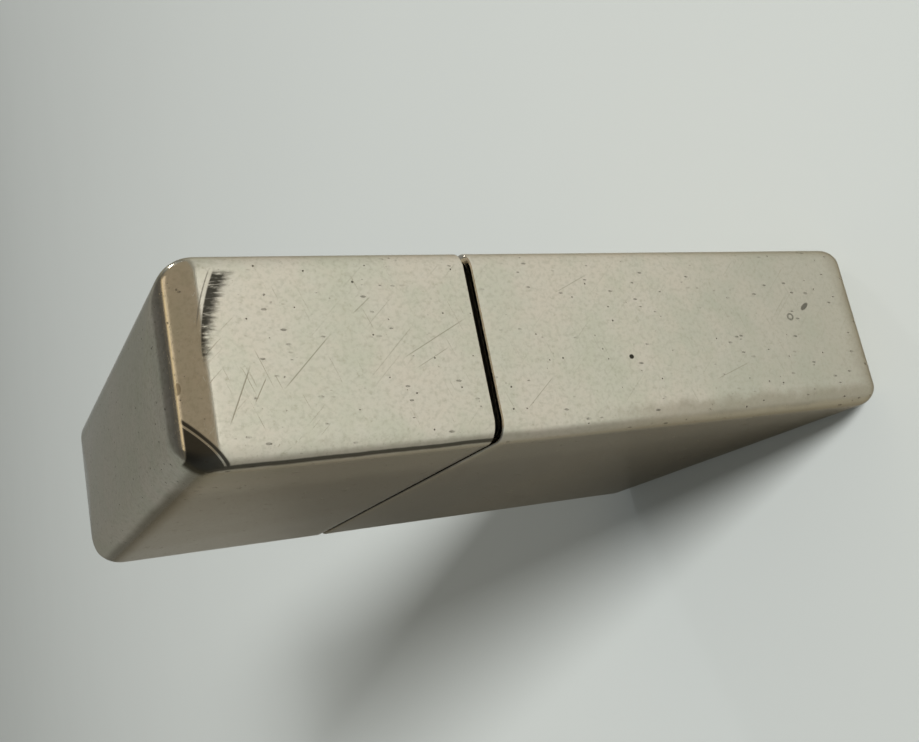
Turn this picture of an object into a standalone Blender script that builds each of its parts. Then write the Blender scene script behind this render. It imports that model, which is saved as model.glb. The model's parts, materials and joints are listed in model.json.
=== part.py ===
"""Windproof flip-top petrol lighter, built as the assembly that comes apart on a bench.

Units are metres and +Z is up. The lighter stands upright and closed. The origin is the centre
of its base, +X is the thumb side with the spark wheel, -X is the hinge side and -Y is the front.
"""

import math

import bmesh
import bpy
from mathutils import Vector

MM = 0.001
WELD = 0.001 * MM
SMOOTH_ANGLE = math.radians(34.0)

# Outer case
WIDTH = 38.0 * MM
DEPTH = 13.3 * MM
HEIGHT = 56.5 * MM
WALL = 0.65 * MM
UPRIGHT_RADIUS = 1.5 * MM
BASE_RADIUS = 2.2 * MM
TOP_RADIUS = 2.6 * MM
TOP_CROWN = 0.2 * MM
RIM_CHAMFER = 0.12 * MM
SEAM_HEIGHT = 35.8 * MM
SEAM_GAP = 0.5 * MM
FOOT_RING = 0.8 * MM
BASE_RECESS = 0.35 * MM
CORNER_STEPS = 5
LEAST_CORNER = 0.6 * MM
CROWN_STEPS = 3

# Hinge of the lid
HINGE_X = -WIDTH / 2 + 0.1 * MM
HINGE_Z = SEAM_HEIGHT
KNUCKLE_RADIUS = 0.95 * MM
HINGE_SHEET = 0.35 * MM
KNUCKLE_COUNT = 5
KNUCKLE_LENGTH = 1.7 * MM
KNUCKLE_GAP = 0.1 * MM
KNUCKLE_WRAP = 290.0
HINGE_LENGTH = KNUCKLE_COUNT * KNUCKLE_LENGTH + (KNUCKLE_COUNT - 1) * KNUCKLE_GAP
LEAF_HEIGHT = 8.0 * MM
LEAF_CLEARANCE = 1.15 * MM
ROLL_STEPS = 22
HINGE_PIN_RADIUS = 0.55 * MM
HINGE_PIN_PROUD = 0.08 * MM
HINGE_PIN_CHAMFER = 0.12 * MM
HINGE_NOTCH_RADIUS = KNUCKLE_RADIUS + 0.15 * MM
HINGE_NOTCH_LENGTH = HINGE_LENGTH + 0.3 * MM

# Fuel tank of the inside unit
TANK_LEFT = -17.85 * MM
TANK_RIGHT = 18.05 * MM
TANK_DEPTH = 11.8 * MM
TANK_WALL = 0.4 * MM
TANK_BOTTOM = 2.1 * MM
TANK_RADIUS = 1.2 * MM
TANK_EDGE = 0.9 * MM
DECK = 36.6 * MM
DECK_UNDER = DECK - TANK_WALL
TANK_X = (TANK_LEFT + TANK_RIGHT) / 2
TANK_WIDTH = TANK_RIGHT - TANK_LEFT

# Chimney
FIT = 0.05 * MM
GAP = 0.1 * MM
CHIMNEY_LEFT = -9.5 * MM
CHIMNEY_RIGHT = 6.7 * MM
CHIMNEY_DEPTH = 8.6 * MM
CHIMNEY_WALL = 0.4 * MM
CHIMNEY_RADIUS = 2.4 * MM
CHIMNEY_BOTTOM = DECK + FIT
CHIMNEY_TOP = 54.2 * MM
CHIMNEY_X = (CHIMNEY_LEFT + CHIMNEY_RIGHT) / 2
EAR_SHEET = 0.3 * MM
EAR_INSIDE = CHIMNEY_DEPTH / 2 - CHIMNEY_WALL + FIT
EAR_LAP = 1.5 * MM
WHEEL_EAR_RADIUS = 2.1 * MM
WHEEL_EAR_FOOT = 2.6 * MM
WHEEL_EAR_THROAT = 1.9 * MM
CAM_EAR_RADIUS = 1.9 * MM
CAM_EAR_FOOT = 2.4 * MM
CAM_EAR_THROAT = 1.7 * MM
VENT_RADIUS = 1.15 * MM
VENT_PITCH_X = 4.3 * MM
VENT_PITCH_Z = 4.2 * MM
VENT_TOP = 51.2 * MM
VENT_STEPS = 14

# Spark wheel, flint and its feed
WHEEL_X = 10.6 * MM
WHEEL_Z = 45.4 * MM
WHEEL_RIM_RADIUS = 3.45 * MM
WHEEL_FILE_RADIUS = 3.2 * MM
WHEEL_HALF_WIDTH = 3.1 * MM
WHEEL_FILE_HALF_WIDTH = 1.7 * MM
WHEEL_POINTS = 60
RIM_TOOTH_DEPTH = 0.22 * MM
FILE_TOOTH_DEPTH = 0.08 * MM
WHEEL_RIM_CHAMFER = 0.15 * MM
WHEEL_FACE_DROP = 0.35 * MM
AXLE_RADIUS = 0.95 * MM
RIVET_HEAD_HEIGHT = 0.4 * MM
RIVET_HEAD_LAP = 0.55 * MM
TUBE_RADIUS = 2.1 * MM
TUBE_BORE_RADIUS = 1.35 * MM
TUBE_BOTTOM = 3.5 * MM
TUBE_TOP = 41.3 * MM
FLINT_RADIUS = 1.25 * MM
FLINT_LENGTH = 5.0 * MM
FLINT_TOP = WHEEL_Z - WHEEL_FILE_RADIUS - GAP
FLINT_BOTTOM = FLINT_TOP - FLINT_LENGTH
PLUNGER_HEAD = 0.8 * MM
PLUNGER_STEM = 2.0 * MM
PLUNGER_STEM_RADIUS = 0.7 * MM
SPRING_COIL_RADIUS = 1.0 * MM
SPRING_WIRE_RADIUS = 0.2 * MM
SPRING_TURNS = 22
SPRING_DEAD_TURNS = 1.25
SPRING_BOTTOM = 9.5 * MM
SPRING_TOP = FLINT_BOTTOM - GAP - PLUNGER_HEAD - GAP
SCREW_HEAD_RADIUS = 2.6 * MM
SCREW_HEAD_BOTTOM = 1.95 * MM
SCREW_CREST_RADIUS = 1.28 * MM
SCREW_ROOT_RADIUS = 1.08 * MM
SCREW_THREADS = 8
SCREW_SLOT = 0.8 * MM
SCREW_SLOT_DEPTH = 0.7 * MM
SCREW_CHAMFER = 0.2 * MM
SCREW_NECK = 0.4 * MM
SPIGOT_LENGTH = 1.6 * MM

# Cam that snaps the lid
CAM_X = -12.0 * MM
CAM_Z = 39.4 * MM
CAM_PIN_RADIUS = 0.8 * MM
CAM_HUB_RADIUS = 1.75 * MM
CAM_FOOT_RADIUS = 2.15 * MM
CAM_NOSE_X = -16.8 * MM
CAM_NOSE_Z = 41.2 * MM
CAM_NOSE_RADIUS = 0.8 * MM
CAM_HALF_WIDTH = 2.6 * MM
CAM_SHEET = 0.6 * MM
CAM_SPRING_SHEET = 0.25 * MM
CAM_SPRING_HALF_WIDTH = 1.5 * MM
CAM_SLOT_HALF_LENGTH = 1.3 * MM
CAM_SLOT_CLEARANCE = 0.25 * MM
CAM_RIVET_X = -4.9 * MM
CAM_RIVET_RADIUS = 0.5 * MM
CAM_RIVET_LAP = 0.45 * MM
CAM_RIVET_HEAD = 0.35 * MM

# Wick, packing and felt
WICK_RADIUS = 1.6 * MM
WICK_TOP = 49.0 * MM
WICK_X = CHIMNEY_X
PACK_HALF_DEPTH = 5.2 * MM
PACK_LEFT = -17.2 * MM
PACK_BOTTOM = 5.9 * MM
PACK_THICKNESS = 4.3 * MM
WICK_RUN = 3.6 * MM
PACK_ROUND = 2.1 * MM
PACK_EDGE = 0.9 * MM
PACK_CLEARANCE = 0.2 * MM
TUBE_CLEARANCE = 0.3 * MM
WICK_DROP_BEND = 2.4 * MM
PACK_RIGHT = WHEEL_X - TUBE_RADIUS - TUBE_CLEARANCE
FELT_BOTTOM = 2.3 * MM
FELT_TOP = 5.6 * MM
FELT_CLEARANCE = 0.25 * MM
FELT_EDGE = 0.3 * MM
FELT_RADIUS = 0.9 * MM

# Colour, roughness and metallic value of each finish
FINISHES = {
    "nickel_plate": ((0.66, 0.63, 0.55), 0.14, 1.0),
    "stainless": ((0.58, 0.58, 0.57), 0.32, 1.0),
    "bright_steel": ((0.62, 0.62, 0.61), 0.25, 1.0),
    "dark_steel": ((0.20, 0.20, 0.21), 0.45, 1.0),
    "brass": ((0.72, 0.55, 0.26), 0.30, 1.0),
    "ferrocerium": ((0.16, 0.16, 0.17), 0.60, 0.9),
    "cotton": ((0.86, 0.84, 0.78), 0.95, 0.0),
    "wick_cotton": ((0.78, 0.74, 0.64), 0.95, 0.0),
    "felt": ((0.70, 0.70, 0.67), 0.98, 0.0),
}


def clear_scene():
    for obj in list(bpy.data.objects):
        bpy.data.objects.remove(obj, do_unlink=True)


def finish_material(name, finish):
    colour, roughness, metallic = FINISHES[finish]
    material = bpy.data.materials.new(name + "_" + finish)
    material.use_nodes = True
    shader = material.node_tree.nodes["Principled BSDF"]
    shader.inputs["Base Color"].default_value = (*colour, 1.0)
    shader.inputs["Roughness"].default_value = roughness
    shader.inputs["Metallic"].default_value = metallic
    return material


def add_empty(name, location):
    empty = bpy.data.objects.new(name, None)
    empty.location = location
    empty.empty_display_size = 4.0 * MM
    bpy.context.scene.collection.objects.link(empty)
    return empty


def add_object(name, bm, origin, parent=None):
    """Make an object from a mesh worked in world coordinates, with its own origin at origin."""
    bmesh.ops.remove_doubles(bm, verts=bm.verts, dist=WELD)
    bmesh.ops.recalc_face_normals(bm, faces=bm.faces)
    bmesh.ops.translate(bm, verts=bm.verts, vec=-Vector(origin))
    mesh = bpy.data.meshes.new(name)
    bm.to_mesh(mesh)
    bm.free()
    obj = bpy.data.objects.new(name, mesh)
    bpy.context.scene.collection.objects.link(obj)
    obj.location = origin
    if parent is not None:
        obj.parent = parent
        obj.location = Vector(origin) - parent.location
    return obj


def add_part(name, bm, finish, origin, parent):
    obj = add_object(name, bm, origin, parent)
    obj.data.shade_smooth()
    obj.data.set_sharp_from_angle(angle=SMOOTH_ANGLE)
    obj.data.materials.append(finish_material(name, finish))
    return obj


def add_tool(name, bm):
    """A shape used only by Boolean modifiers."""
    tool = add_object(name, bm, (0.0, 0.0, 0.0))
    tool.hide_render = True
    tool.display_type = "WIRE"
    return tool


def boolean(obj, tool, operation):
    modifier = obj.modifiers.new(operation.lower() + "_" + tool.name, "BOOLEAN")
    modifier.operation = operation
    modifier.solver = "EXACT"
    modifier.object = tool


def loft(bm, sections, closed=False):
    """Skin loops of equal point count, capping the ends unless the last meets the first."""
    rings = []
    for section in sections:
        rings.append([bm.verts.new(point) for point in section])
    pairs = list(zip(rings, rings[1:]))
    if closed:
        pairs.append((rings[-1], rings[0]))
    for ring, following in pairs:
        count = len(ring)
        for i in range(count):
            j = (i + 1) % count
            bm.faces.new((ring[i], ring[j], following[j], following[i]))
    if not closed:
        bm.faces.new(rings[0][::-1])
        bm.faces.new(rings[-1])


def rounded_rectangle(width, height, radius):
    """Points (u, v) round a rectangle centred on zero, with an arc at each corner."""
    points = []
    for quarter, (sign_u, sign_v) in enumerate(((1, 1), (-1, 1), (-1, -1), (1, -1))):
        centre_u = sign_u * (width / 2 - radius)
        centre_v = sign_v * (height / 2 - radius)
        for step in range(CORNER_STEPS + 1):
            angle = math.radians(90.0 * (quarter + step / CORNER_STEPS))
            u = centre_u + radius * math.cos(angle)
            v = centre_v + radius * math.sin(angle)
            points.append((u, v))
    return points


def stack_rectangles(width, height, radius, profile, place):
    """One rounded rectangle for each (inset, level) of the profile, put in space by place."""
    sections = []
    for inset, level in profile:
        corner = max(radius - inset, LEAST_CORNER)
        outline = rounded_rectangle(width - 2 * inset, height - 2 * inset, corner)
        sections.append([place(u, v, level) for u, v in outline])
    return sections


def arc(centre_x, centre_z, radius, start, end, steps):
    """Points (x, z) on an arc from start to end, in degrees from +X towards +Z."""
    points = []
    for step in range(steps + 1):
        angle = math.radians(start + (end - start) * step / steps)
        x = centre_x + radius * math.cos(angle)
        z = centre_z + radius * math.sin(angle)
        points.append((x, z))
    return points


def prism(bm, outline, low_y, high_y):
    """Extrude an (x, z) outline along Y."""
    front = [(x, low_y, z) for x, z in outline]
    back = [(x, high_y, z) for x, z in outline]
    loft(bm, [front, back])


def box(bm, low, high):
    outline = [(low[0], low[2]), (high[0], low[2]), (high[0], high[2]), (low[0], high[2])]
    prism(bm, outline, low[1], high[1])


def turned_z(bm, profile, x, y, steps):
    """Spin (radius, z) points round the upright through x, y. A bored piece repeats its start."""
    verts = [bm.verts.new((x + radius, y, z)) for radius, z in profile]
    edges = [bm.edges.new(pair) for pair in zip(verts, verts[1:])]
    bmesh.ops.spin(
        bm,
        geom=verts + edges,
        cent=(x, y, 0.0),
        axis=(0.0, 0.0, 1.0),
        angle=2 * math.pi,
        steps=steps,
        use_merge=True,
    )


def turned_y(bm, profile, x, z, steps):
    """Spin (radius, y) points round the line along Y through x, z."""
    verts = [bm.verts.new((x + radius, y, z)) for radius, y in profile]
    edges = [bm.edges.new(pair) for pair in zip(verts, verts[1:])]
    bmesh.ops.spin(
        bm,
        geom=verts + edges,
        cent=(x, 0.0, z),
        axis=(0.0, 1.0, 0.0),
        angle=2 * math.pi,
        steps=steps,
        use_merge=True,
    )


def rod_y(bm, radius, half_length, x, z, steps):
    profile = [
        (0.0, -half_length),
        (radius, -half_length),
        (radius, half_length),
        (0.0, half_length),
    ]
    turned_y(bm, profile, x, z, steps)


def rivet_y_profile(shank, head, inner, outer):
    """Half section of a rivet along Y whose heads start at inner and end at outer."""
    shoulder = inner + 0.6 * (outer - inner)
    edge = 0.72 * head
    half = [(shank, inner), (head, inner), (head, shoulder), (edge, outer), (0.0, outer)]
    lower = [(radius, -y) for radius, y in reversed(half)]
    return lower + half


def upright(u, v, level):
    return (u, v, level)


def tank_place(u, v, level):
    return (TANK_X + u, v, level)


def chimney_place(u, v, level):
    return (CHIMNEY_X + u, v, level)


def quarter_round(radius, steps):
    """(inset, drop) pairs that lead from a flat end face round its edge to the side."""
    pairs = []
    for step in range(steps + 1):
        angle = math.radians(90.0 * step / steps)
        pairs.append((radius * (1 - math.sin(angle)), radius * (1 - math.cos(angle))))
    return pairs


def hinge_clearance():
    """The room that both rims leave for the knuckles."""
    bm = bmesh.new()
    rod_y(bm, HINGE_NOTCH_RADIUS, HINGE_NOTCH_LENGTH / 2, HINGE_X, HINGE_Z, 32)
    return add_tool("tool_hinge_clearance", bm)


def case_body(parent, notch):
    """Drawn cup, open at the rim, with a foot ring round a recessed base panel."""
    rim = SEAM_HEIGHT - SEAM_GAP / 2
    ring_inner = BASE_RADIUS + FOOT_RING
    panel = ring_inner + BASE_RECESS
    inner_radius = BASE_RADIUS - WALL
    profile = [(panel, BASE_RECESS), (ring_inner, 0.0)]
    profile += quarter_round(BASE_RADIUS, 6)
    profile += [(0.0, rim - RIM_CHAMFER), (RIM_CHAMFER, rim), (WALL, rim)]
    inner = [(WALL + inset, WALL + drop) for inset, drop in quarter_round(inner_radius, 4)]
    profile += inner[::-1]
    profile += [(ring_inner, WALL), (panel, WALL + BASE_RECESS)]
    bm = bmesh.new()
    loft(bm, stack_rectangles(WIDTH, DEPTH, UPRIGHT_RADIUS, profile, upright))
    obj = add_part("case_body", bm, "nickel_plate", (0.0, 0.0, 0.0), parent)
    boolean(obj, notch, "DIFFERENCE")


def lid_shell(parent, notch):
    """Drawn cap with a slightly crowned top."""
    rim = SEAM_HEIGHT + SEAM_GAP / 2
    edge = HEIGHT - TOP_CROWN
    inner_top = edge - WALL
    inner_radius = TOP_RADIUS - WALL
    half_depth = DEPTH / 2
    flat = 0.9 * half_depth
    profile = []
    for step in range(CROWN_STEPS):
        share = step / CROWN_STEPS
        inset = flat + share * (TOP_RADIUS - flat)
        profile.append((inset, HEIGHT - TOP_CROWN * share**2))
    profile += [(inset, edge - drop) for inset, drop in quarter_round(TOP_RADIUS, 6)]
    profile += [(0.0, rim + RIM_CHAMFER), (RIM_CHAMFER, rim), (WALL, rim)]
    inner = [(WALL + inset, inner_top - drop) for inset, drop in quarter_round(inner_radius, 4)]
    profile += inner[::-1]
    bm = bmesh.new()
    loft(bm, stack_rectangles(WIDTH, DEPTH, UPRIGHT_RADIUS, profile, upright))
    obj = add_part("lid_shell", bm, "nickel_plate", (HINGE_X, 0.0, HINGE_Z), parent)
    boolean(obj, notch, "DIFFERENCE")


def knuckle_start(index):
    return -HINGE_LENGTH / 2 + index * (KNUCKLE_LENGTH + KNUCKLE_GAP)


def hinge_leaf(name, side, cut_knuckles, parent):
    """Sheet leaf rolled round the pin. Side is -1 for the leaf that goes down, +1 for up."""
    bore = KNUCKLE_RADIUS - HINGE_SHEET
    outer_roll = arc(0.0, 0.0, KNUCKLE_RADIUS, 0.0, KNUCKLE_WRAP, ROLL_STEPS)
    inner_roll = arc(0.0, 0.0, bore, KNUCKLE_WRAP, 0.0, ROLL_STEPS)
    outline = [(KNUCKLE_RADIUS, -LEAF_HEIGHT)] + outer_roll + inner_roll
    outline.append((bore, -LEAF_HEIGHT))
    outline = [(HINGE_X + x, HINGE_Z - side * z) for x, z in outline]
    bm = bmesh.new()
    prism(bm, outline, -HINGE_LENGTH / 2, HINGE_LENGTH / 2)
    leaf = add_part(name, bm, "bright_steel", (HINGE_X, 0.0, HINGE_Z), parent)
    bm = bmesh.new()
    reach = 1.5 * KNUCKLE_RADIUS
    near = HINGE_Z + side * LEAF_CLEARANCE
    far = HINGE_Z - side * reach
    for index in cut_knuckles:
        start = knuckle_start(index) - KNUCKLE_GAP
        end = knuckle_start(index) + KNUCKLE_LENGTH + KNUCKLE_GAP
        low = (HINGE_X - reach, start, min(near, far))
        high = (HINGE_X + reach, end, max(near, far))
        box(bm, low, high)
    boolean(leaf, add_tool("tool_" + name + "_notches", bm), "DIFFERENCE")


def hinge_pin(parent):
    half = HINGE_LENGTH / 2
    tip = half + HINGE_PIN_PROUD
    shoulder = tip - HINGE_PIN_CHAMFER
    chamfered = HINGE_PIN_RADIUS - HINGE_PIN_CHAMFER
    outer = [(HINGE_PIN_RADIUS, shoulder), (chamfered, tip), (0.0, tip)]
    profile = [(radius, -y) for radius, y in reversed(outer)] + outer
    bm = bmesh.new()
    turned_y(bm, profile, HINGE_X, HINGE_Z, 20)
    add_part("hinge_pin", bm, "bright_steel", (HINGE_X, 0.0, HINGE_Z), parent)


def insert_tank(parent):
    """Tank drawn with its deck in one piece and open at the bottom."""
    profile = [(inset, DECK - drop) for inset, drop in quarter_round(TANK_EDGE, 4)]
    profile += [(0.0, TANK_BOTTOM), (TANK_WALL, TANK_BOTTOM)]
    inner_edge = TANK_EDGE - TANK_WALL
    inner = quarter_round(inner_edge, 3)[::-1]
    profile += [(TANK_WALL + inset, DECK_UNDER - drop) for inset, drop in inner]
    bm = bmesh.new()
    loft(bm, stack_rectangles(TANK_WIDTH, TANK_DEPTH, TANK_RADIUS, profile, tank_place))
    tank = add_part("insert_tank", bm, "stainless", (TANK_X, 0.0, TANK_BOTTOM), parent)
    bm = bmesh.new()
    holes = (
        (WHEEL_X, TUBE_RADIUS + FIT),
        (WICK_X, WICK_RADIUS + GAP),
        (CAM_RIVET_X, CAM_RIVET_RADIUS + FIT),
    )
    low = DECK_UNDER - TANK_WALL
    high = DECK + TANK_WALL
    for x, radius in holes:
        turned_z(bm, [(0.0, low), (radius, low), (radius, high), (0.0, high)], x, 0.0, 24)
    across = CAM_SPRING_HALF_WIDTH + CAM_SLOT_CLEARANCE
    slot_low = (CAM_X - CAM_SLOT_HALF_LENGTH, -across, low)
    slot_high = (CAM_X + CAM_SLOT_HALF_LENGTH, across, high)
    box(bm, slot_low, slot_high)
    boolean(tank, add_tool("tool_deck_openings", bm), "DIFFERENCE")


def wheel_ear_outline():
    """Side sheet that reaches from the chimney to the wheel's axle."""
    inside_wall = CHIMNEY_RIGHT - CHIMNEY_RADIUS - EAR_LAP
    foot = WHEEL_X + WHEEL_EAR_FOOT
    throat_x = CHIMNEY_RIGHT + 1.6 * MM
    throat_z = WHEEL_Z + 4.6 * MM
    shoulder = (CHIMNEY_RIGHT - 0.6 * MM, CHIMNEY_TOP - 2.2 * MM)
    outline = [(inside_wall, CHIMNEY_BOTTOM + FIT), (foot, CHIMNEY_BOTTOM + FIT)]
    outline += arc(WHEEL_X, WHEEL_Z, WHEEL_EAR_RADIUS, -25.0, 80.0, 9)
    outline += arc(throat_x, throat_z, WHEEL_EAR_THROAT, 285.0, 200.0, 5)
    outline += [shoulder, (inside_wall, CHIMNEY_TOP - EAR_LAP)]
    return outline


def cam_ear_outline():
    """Side sheet that reaches from the chimney to the cam's pin."""
    inside_wall = CHIMNEY_LEFT + CHIMNEY_RADIUS + EAR_LAP
    foot = CAM_X - CAM_EAR_FOOT
    throat_x = CHIMNEY_LEFT - 1.4 * MM
    throat_z = CAM_Z + 4.2 * MM
    top = CAM_Z + 7.0 * MM
    shoulder = (CHIMNEY_LEFT + 0.6 * MM, CAM_Z + 6.0 * MM)
    outline = [(inside_wall, CHIMNEY_BOTTOM + FIT), (inside_wall, top), shoulder]
    outline += arc(throat_x, throat_z, CAM_EAR_THROAT, 0.0, -80.0, 5)
    outline += arc(CAM_X, CAM_Z, CAM_EAR_RADIUS, 80.0, 190.0, 9)
    outline += [(foot, CHIMNEY_BOTTOM + FIT)]
    return outline


def vent_centres():
    """Three columns of three, two and three vents, the middle column between the rows."""
    centres = []
    for column, count in ((-1, 3), (0, 2), (1, 3)):
        for row in range(count):
            drop = row + (3 - count) / 2
            centres.append((CHIMNEY_X + column * VENT_PITCH_X, VENT_TOP - drop * VENT_PITCH_Z))
    return centres


def chimney(parent):
    """Wind shield: a flat tube with vents, and ears for the wheel's axle and the cam's pin."""
    width = CHIMNEY_RIGHT - CHIMNEY_LEFT
    outside = [(0.0, CHIMNEY_BOTTOM), (0.0, CHIMNEY_TOP)]
    inside = [(CHIMNEY_WALL, CHIMNEY_TOP), (CHIMNEY_WALL, CHIMNEY_BOTTOM)]
    profile = outside + inside
    bm = bmesh.new()
    sections = stack_rectangles(width, CHIMNEY_DEPTH, CHIMNEY_RADIUS, profile, chimney_place)
    loft(bm, sections, closed=True)
    shield = add_part("chimney", bm, "stainless", (CHIMNEY_X, 0.0, CHIMNEY_BOTTOM), parent)

    ear_outside = EAR_INSIDE + EAR_SHEET
    ears = bmesh.new()
    for outline in (wheel_ear_outline(), cam_ear_outline()):
        prism(ears, outline, EAR_INSIDE, ear_outside)
        prism(ears, outline, -ear_outside, -EAR_INSIDE)
    boolean(shield, add_tool("tool_chimney_ears", ears), "UNION")

    holes = bmesh.new()
    for x, z in vent_centres():
        rod_y(holes, VENT_RADIUS, CHIMNEY_DEPTH, x, z, VENT_STEPS)
    rod_y(holes, AXLE_RADIUS + FIT, CHIMNEY_DEPTH, WHEEL_X, WHEEL_Z, 20)
    rod_y(holes, CAM_PIN_RADIUS + FIT, CHIMNEY_DEPTH, CAM_X, CAM_Z, 20)
    boolean(shield, add_tool("tool_chimney_holes", holes), "DIFFERENCE")


def toothed_ring(y, radius, depth, teeth):
    """One loop of the spark wheel, its radius rising and dropping once for each tooth."""
    points_per_tooth = WHEEL_POINTS // teeth
    loop = []
    for i in range(WHEEL_POINTS):
        rise = (i % points_per_tooth) / max(points_per_tooth - 1, 1)
        reach = radius - depth * (1.0 - rise)
        angle = 2 * math.pi * i / WHEEL_POINTS
        loop.append((WHEEL_X + reach * math.cos(angle), y, WHEEL_Z + reach * math.sin(angle)))
    return loop


def spark_wheel(parent):
    """Steel wheel: a fine file band between two coarser thumb rims."""
    rim = (WHEEL_RIM_RADIUS, RIM_TOOTH_DEPTH, WHEEL_POINTS // 3)
    file_band = (WHEEL_FILE_RADIUS, FILE_TOOTH_DEPTH, WHEEL_POINTS // 2)
    face = (WHEEL_RIM_RADIUS - WHEEL_FACE_DROP, 0.0, 1)
    bore = (AXLE_RADIUS + FIT, 0.0, 1)
    edge = WHEEL_HALF_WIDTH - WHEEL_RIM_CHAMFER
    stations = [
        (-WHEEL_HALF_WIDTH, bore),
        (-WHEEL_HALF_WIDTH, face),
        (-edge, rim),
        (-WHEEL_FILE_HALF_WIDTH, rim),
        (-WHEEL_FILE_HALF_WIDTH + FIT, file_band),
        (WHEEL_FILE_HALF_WIDTH - FIT, file_band),
        (WHEEL_FILE_HALF_WIDTH, rim),
        (edge, rim),
        (WHEEL_HALF_WIDTH, face),
        (WHEEL_HALF_WIDTH, bore),
    ]
    bm = bmesh.new()
    loft(bm, [toothed_ring(y, *ring) for y, ring in stations], closed=True)
    add_part("spark_wheel", bm, "dark_steel", (WHEEL_X, 0.0, WHEEL_Z), parent)


def cross_pin(name, x, z, radius, finish, parent):
    """Rivet along Y that holds a moving piece between two ears."""
    inner = EAR_INSIDE + EAR_SHEET + FIT
    profile = rivet_y_profile(radius, radius + RIVET_HEAD_LAP, inner, inner + RIVET_HEAD_HEIGHT)
    bm = bmesh.new()
    turned_y(bm, profile, x, z, 20)
    add_part(name, bm, finish, (x, 0.0, z), parent)


def cam_outline():
    """Nose, back, hub and round foot of the cam lever."""
    nose_angle = math.degrees(math.atan2(CAM_NOSE_Z - CAM_Z, CAM_NOSE_X - CAM_X))
    outline = arc(CAM_NOSE_X, CAM_NOSE_Z, CAM_NOSE_RADIUS, nose_angle - 90.0, nose_angle + 80.0, 9)
    outline += arc(CAM_X, CAM_Z, CAM_FOOT_RADIUS, 235.0, 305.0, 7)
    outline += arc(CAM_X, CAM_Z, CAM_HUB_RADIUS, 330.0, 430.0, 8)
    return outline


def cam_lever(parent):
    """Folded sheet cam: two cheeks on the pin, joined by a web along the nose and back."""
    bm = bmesh.new()
    prism(bm, cam_outline(), -CAM_HALF_WIDTH, CAM_HALF_WIDTH)
    cam = add_part("cam_lever", bm, "bright_steel", (CAM_X, 0.0, CAM_Z), parent)
    bm = bmesh.new()
    pocket = [(x + CAM_SHEET, z - CAM_SHEET) for x, z in cam_outline()]
    inside = CAM_HALF_WIDTH - CAM_SHEET
    prism(bm, pocket, -inside, inside)
    boolean(cam, add_tool("tool_cam_pocket", bm), "DIFFERENCE")
    bm = bmesh.new()
    rod_y(bm, CAM_PIN_RADIUS + FIT, 2 * CAM_HALF_WIDTH, CAM_X, CAM_Z, 20)
    boolean(cam, add_tool("tool_cam_bore", bm), "DIFFERENCE")


def cam_spring(parent):
    """Leaf spring riveted under the deck, its tip turned up through the slot to the cam."""
    root_z = DECK_UNDER - GAP - CAM_SPRING_SHEET / 2
    tip_z = CAM_Z - CAM_FOOT_RADIUS - 0.15 * MM
    start_x = CAM_RIVET_X + 1.4 * MM
    line = [(start_x, root_z), (CAM_RIVET_X - 1.3 * MM, root_z)]
    line += arc(CAM_X + 2.2 * MM, root_z + 3.2 * MM, 4.2 * MM, 300.0, 245.0, 6)
    line += [(CAM_X - 0.35 * MM, root_z - 0.2 * MM), (CAM_X - 0.1 * MM, tip_z)]
    half = CAM_SPRING_SHEET / 2
    upper = []
    lower = []
    for i, (x, z) in enumerate(line):
        before = line[max(i - 1, 0)]
        after = line[min(i + 1, len(line) - 1)]
        along = Vector((after[0] - before[0], after[1] - before[1])).normalized()
        upper.append((x + half * along.y, z - half * along.x))
        lower.append((x - half * along.y, z + half * along.x))
    bm = bmesh.new()
    prism(bm, upper + lower[::-1], -CAM_SPRING_HALF_WIDTH, CAM_SPRING_HALF_WIDTH)
    spring = add_part("cam_spring", bm, "bright_steel", (CAM_RIVET_X, 0.0, root_z), parent)
    bm = bmesh.new()
    radius = CAM_RIVET_RADIUS + FIT
    low = root_z - 1.0 * MM
    high = root_z + 1.0 * MM
    hole = [(0.0, low), (radius, low), (radius, high), (0.0, high)]
    turned_z(bm, hole, CAM_RIVET_X, 0.0, 20)
    boolean(spring, add_tool("tool_cam_spring_hole", bm), "DIFFERENCE")


def cam_spring_rivet(parent):
    head = CAM_RIVET_RADIUS + CAM_RIVET_LAP
    dome = 0.6 * head
    low_head = DECK_UNDER - GAP - CAM_SPRING_SHEET - FIT
    high_head = DECK + FIT
    profile = [
        (0.0, low_head - CAM_RIVET_HEAD),
        (dome, low_head - CAM_RIVET_HEAD),
        (head, low_head - CAM_RIVET_HEAD / 2),
        (head, low_head),
        (CAM_RIVET_RADIUS, low_head),
        (CAM_RIVET_RADIUS, high_head),
        (head, high_head),
        (head, high_head + CAM_RIVET_HEAD / 2),
        (dome, high_head + CAM_RIVET_HEAD),
        (0.0, high_head + CAM_RIVET_HEAD),
    ]
    bm = bmesh.new()
    turned_z(bm, profile, CAM_RIVET_X, 0.0, 18)
    add_part("cam_spring_rivet", bm, "bright_steel", (CAM_RIVET_X, 0.0, DECK), parent)


def flint_tube(parent):
    lead = 0.15 * MM
    profile = [
        (TUBE_BORE_RADIUS, TUBE_BOTTOM),
        (TUBE_RADIUS - lead, TUBE_BOTTOM),
        (TUBE_RADIUS, TUBE_BOTTOM + lead),
        (TUBE_RADIUS, TUBE_TOP - lead),
        (TUBE_RADIUS - lead, TUBE_TOP),
        (TUBE_BORE_RADIUS, TUBE_TOP),
        (TUBE_BORE_RADIUS, TUBE_BOTTOM),
    ]
    bm = bmesh.new()
    turned_z(bm, profile, WHEEL_X, 0.0, 28)
    add_part("flint_tube", bm, "brass", (WHEEL_X, 0.0, TUBE_BOTTOM), parent)


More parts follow.
